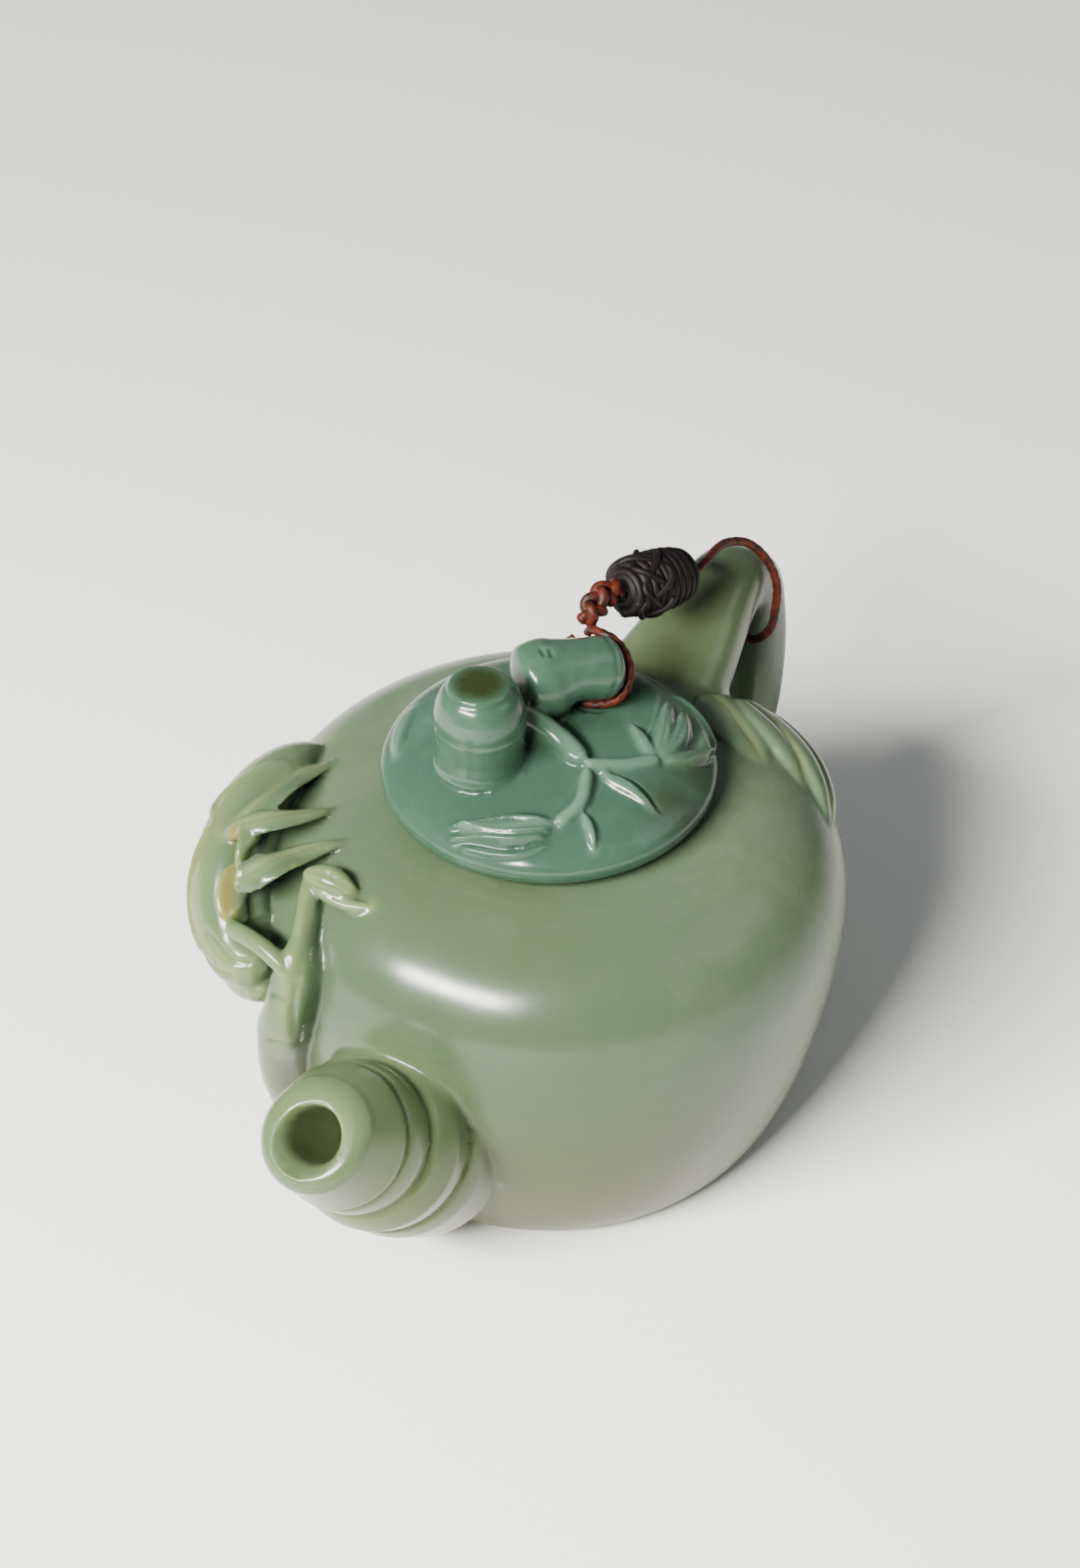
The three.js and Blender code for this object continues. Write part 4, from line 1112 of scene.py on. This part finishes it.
def object_places(tree, scale=None):
    """Object coordinates, which stay with the piece, stretched by a scale where one is given."""
    where = tree.nodes.new("ShaderNodeTexCoord").outputs["Object"]
    if scale is None:
        return where
    mapping = tree.nodes.new("ShaderNodeMapping")
    tree.links.new(where, mapping.inputs["Vector"])
    tree.links.new(scale, mapping.inputs["Scale"])
    return mapping.outputs["Vector"]


def noise(tree, where, scale, detail, roughness, distortion=0.0):
    made = tree.nodes.new("ShaderNodeTexNoise")
    tree.links.new(where, made.inputs["Vector"])
    for label, value in (("Scale", scale), ("Detail", detail), ("Roughness", roughness),
                         ("Distortion", distortion)):
        made.inputs[label].default_value = value
    return made.outputs["Fac"]


def spread(tree, source, low, high, top=1.0):
    """Stretch the part of a value between low and high to 0..top."""
    made = tree.nodes.new("ShaderNodeMapRange")
    made.interpolation_type = "SMOOTHSTEP"
    for label, value in (("From Min", low), ("From Max", high), ("To Max", top)):
        made.inputs[label].default_value = value
    tree.links.new(source, made.inputs["Value"])
    return made.outputs["Result"]


def blend_colours(tree, factor, first, second):
    made = tree.nodes.new("ShaderNodeMix")
    made.data_type = "RGBA"
    for label, value in (("Factor", factor), ("A", first), ("B", second)):
        if isinstance(value, tuple):
            made.inputs[label].default_value = value
        else:
            tree.links.new(value, made.inputs[label])
    return made.outputs["Result"]


# %% [markdown]
# ## Three node groups
# The clouds group puts out masks: broad and fine clouds, veins, and two for painted shade: how low a place is,
# and how far towards the spout. The polish group varies the gloss and gives a faint grain. The fibres group
# serves both threads.

# %% Node groups
def clouds_group():
    tree, given, result = new_group("jade_clouds", {"Scale": 1.0},
                                    ("Broad", "Fine", "Veins", "low_shade", "spoutward_shade"))
    apart = tree.nodes.new("ShaderNodeSeparateXYZ")
    tree.links.new(object_places(tree), apart.inputs["Vector"])
    where = object_places(tree, given.outputs["Scale"])
    for label, source, low, high, top in (
        # The next two masks carry painted shade: darker towards the foot, and darker towards the spout side.
        ("low_shade", apart.outputs["Z"], 0.03, 0.006, 1),
        ("spoutward_shade", apart.outputs["X"], 0.012, -0.034, 1),
        ("Broad", noise(tree, where, 38, 2, 0.5, 0.3), 0.28, 0.78, 1),
        ("Fine", noise(tree, where, 420, 6, 0.6, 0.3), 0.42, 0.75, 0.3),
        ("Veins", noise(tree, where, 90, 4, 0.6, 0.8), 0.5, 0.8, 0.8),
    ):
        tree.links.new(spread(tree, source, low, high, top), result.inputs[label])
    return tree


def polish_group():
    tree, given, result = new_group("stone_polish", {"Base": 0.14, "Wear": 0.08}, ("Roughness", "Height"))
    where = object_places(tree)
    vary = tree.nodes.new("ShaderNodeMath")
    vary.operation = "MULTIPLY_ADD"
    tree.links.new(spread(tree, noise(tree, where, 160, 3, 0.5), 0.35, 0.7), vary.inputs[0])
    tree.links.new(given.outputs["Wear"], vary.inputs[1])
    tree.links.new(given.outputs["Base"], vary.inputs[2])
    tree.links.new(vary.outputs["Value"], result.inputs["Roughness"])
    tree.links.new(noise(tree, where, 1500, 3, 0.6), result.inputs["Height"])
    return tree


def fibres_group():
    tree, given, result = new_group("thread_fibres", {"Scale": 1.0}, ("Shade", "Height"))
    where = object_places(tree, given.outputs["Scale"])
    tree.links.new(spread(tree, noise(tree, where, 900, 3, 0.6), 0.3, 0.7), result.inputs["Shade"])
    tree.links.new(noise(tree, where, 5200, 2, 0.5), result.inputs["Height"])
    return tree


CLOUDS, POLISH, FIBRES = clouds_group(), polish_group(), fibres_group()


def use_group(tree, group, **values):
    made = tree.nodes.new("ShaderNodeGroup")
    made.node_tree = group
    for label, value in values.items():
        made.inputs[label].default_value = value
    return made


# %% [markdown]
# ## Jade and thread
# The jade lets light go a few millimetres in. Its colour starts from one tint, and each mask of the clouds and
# each painted number blends another over it; the thin tint is a painted glow, and the low, deep and
# handle-crest tints are painted shade. The threads are matt, with a fine bump of fibres.

# %% Jade and thread
JADE_IOR, JADE_DEPTH_SHARE, JADE_DEPTHS = 1.4, 0.85, (0.9, 1.0, 0.6)


def srgb(red, green, blue):
    channels = [c / 255 for c in (red, green, blue)]
    return tuple(c / 12.92 if c <= 0.04045 else ((c + 0.055) / 1.055) ** 2.4 for c in channels) + (1.0,)


def new_material(name):
    material = bpy.data.materials.new(name)
    material.use_nodes = True
    return material, material.node_tree, material.node_tree.nodes["Principled BSDF"]


def add_bump(tree, shader, height, strength, distance):
    bump = tree.nodes.new("ShaderNodeBump")
    bump.inputs["Strength"].default_value = strength
    bump.inputs["Distance"].default_value = distance
    tree.links.new(height, bump.inputs["Height"])
    tree.links.new(bump.outputs["Normal"], shader.inputs["Normal"])


def jade(name, main, pale, olive, low, deep, painted_tints, roughness, depth):
    material, tree, shader = new_material(name)
    clouds = use_group(tree, CLOUDS)
    colour = main
    # Broad, Veins and Fine are the stone's own clouds; the foot and spout-side masks blend in painted shade.
    for label, tint in (("Broad", olive), ("Veins", pale), ("Fine", pale), ("spoutward_shade", deep), ("low_shade", low)):
        colour = blend_colours(tree, clouds.outputs[label], colour, tint)
    # Painted numbers: thin is a painted glow, shade darkens (on the pot's handle it is a painted shadow), and
    # amber is the stone's own.
    for label, tint in painted_tints.items():
        painted = tree.nodes.new("ShaderNodeAttribute")
        painted.attribute_name = label
        colour = blend_colours(tree, painted.outputs["Fac"], colour, tint)
    tree.links.new(colour, shader.inputs["Base Color"])
    polish_mask = use_group(tree, POLISH, Base=roughness, Wear=0.07)
    tree.links.new(polish_mask.outputs["Roughness"], shader.inputs["Roughness"])
    add_bump(tree, shader, polish_mask.outputs["Height"], 0.05, 0.05 * MM)
    shader.inputs["IOR"].default_value = JADE_IOR
    shader.inputs["Subsurface Weight"].default_value = JADE_DEPTH_SHARE
    shader.inputs["Subsurface Radius"].default_value = JADE_DEPTHS
    shader.inputs["Subsurface Scale"].default_value = depth
    return material


def thread_material(name, dark, light, roughness):
    material, tree, shader = new_material(name)
    fibres = use_group(tree, FIBRES)
    tree.links.new(blend_colours(tree, fibres.outputs["Shade"], dark, light), shader.inputs["Base Color"])
    add_bump(tree, shader, fibres.outputs["Height"], 0.35, 0.08 * MM)
    shader.inputs["Roughness"].default_value = roughness
    shader.inputs["Specular IOR Level"].default_value = 0.2
    return material


# On both pieces, deep is painted shade towards the spout side and thin is a painted glow; on the pot, low is
# painted shade near the foot and shade is a painted shadow on the handle's crest.
pot_jade = jade("pot_jade", main=srgb(78, 97, 76), pale=srgb(100, 114, 92), olive=srgb(80, 94, 62),
                low=srgb(60, 66, 27), deep=srgb(58, 76, 54),
                painted_tints={"thin": srgb(108, 119, 80), "shade": srgb(44, 47, 20), "amber": srgb(98, 82, 8)},
                roughness=0.2, depth=3.2 * MM)
lid_jade = jade("lid_jade", main=srgb(53, 80, 63), pale=srgb(70, 98, 79), olive=srgb(46, 70, 51),
                low=srgb(53, 80, 63), deep=srgb(40, 66, 50),
                painted_tints={"thin": srgb(86, 112, 93), "shade": srgb(32, 40, 16), "amber": srgb(80, 80, 38)},
                roughness=0.16, depth=2.2 * MM)
cord_red = thread_material("cord_red", srgb(24, 8, 5), srgb(74, 25, 13), 0.5)
cord_dark = thread_material("cord_dark", srgb(4, 2, 2), srgb(15, 7, 7), 0.6)

# %% [markdown]
# ## Dress the pieces
# Each piece gets its material, rides on the one body, and takes the place of its plain solid.

# %% Dress the pieces
for piece, material, node, slot in (
    (pot, pot_jade, "pot", "pot_jade"),
    (lid, lid_jade, "lid", "lid_jade"),
    (tether_knob_loop, cord_red, "tether_knob_loop", "cord_thread"),
    (tether_plait, cord_red, "tether_plait", "cord_thread"),
    (tether_bead, cord_dark, "tether_bead", "bead_thread"),
    (tether_handle_loop, cord_red, "tether_handle_loop", "cord_thread"),
):
    piece.data.materials.clear()
    piece.data.materials.append(material)
    piece.data.shade_smooth()
    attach(piece, "root")
    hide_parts(node)

# %% [markdown]
# ## The floor and the light
# The teapot stands on a plain pale floor. A soft key light from the front left gives the streaks along the
# polished edges and the shadow at the right, and a pale room fills the shadows.

# %% Floor and lights
floor_form = bmesh.new()
bmesh.ops.create_grid(floor_form, x_segments=1, y_segments=1, size=1.2)
floor = add_object("floor", floor_form)
pale_floor, _, floor_shader = new_material("pale_floor")
floor_shader.inputs["Base Color"].default_value = srgb(228, 229, 222)
floor_shader.inputs["Roughness"].default_value = 0.9
floor.data.materials.append(pale_floor)

AIM = Vector((0, 0, 0.03))
KEY_AZIMUTH, KEY_ELEVATION, KEY_DISTANCE = math.radians(171), math.radians(38), 0.5
KEY_SIZE, KEY_POWER, KEY_COLOUR = (0.32, 0.08), 14.5, (1.0, 0.97, 0.92)
FILL_SIZE, FILL_POWER, FILL_COLOUR = (0.4, 0.3), 0.5, (0.95, 0.98, 1.0)
ROOM_COLOUR, ROOM_STRENGTH = (0.86, 0.9, 0.95, 1), 0.24


def area_light(name, place, size, power, colour):
    lamp = bpy.data.lights.new(name, "AREA")
    lamp.shape, lamp.energy, lamp.color = "RECTANGLE", power, colour
    lamp.size, lamp.size_y = size
    holder = bpy.data.objects.new(name, lamp)
    holder.location = place
    holder.rotation_euler = (place - AIM).to_track_quat("Z", "Y").to_euler()
    bpy.context.scene.collection.objects.link(holder)


key_side = Vector((math.cos(KEY_AZIMUTH) * math.cos(KEY_ELEVATION),
                   math.sin(KEY_AZIMUTH) * math.cos(KEY_ELEVATION), math.sin(KEY_ELEVATION)))
area_light("key", AIM + KEY_DISTANCE * key_side, KEY_SIZE, KEY_POWER, KEY_COLOUR)
area_light("fill", AIM + 0.5 * right + 0.35 * up + 0.3 * back, FILL_SIZE, FILL_POWER, FILL_COLOUR)
world = bpy.data.worlds.new("room")
world.use_nodes = True
world.node_tree.nodes["Background"].inputs["Color"].default_value = ROOM_COLOUR
world.node_tree.nodes["Background"].inputs["Strength"].default_value = ROOM_STRENGTH
bpy.context.scene.world = world

# %% Finish
bpy.context.view_layer.update()
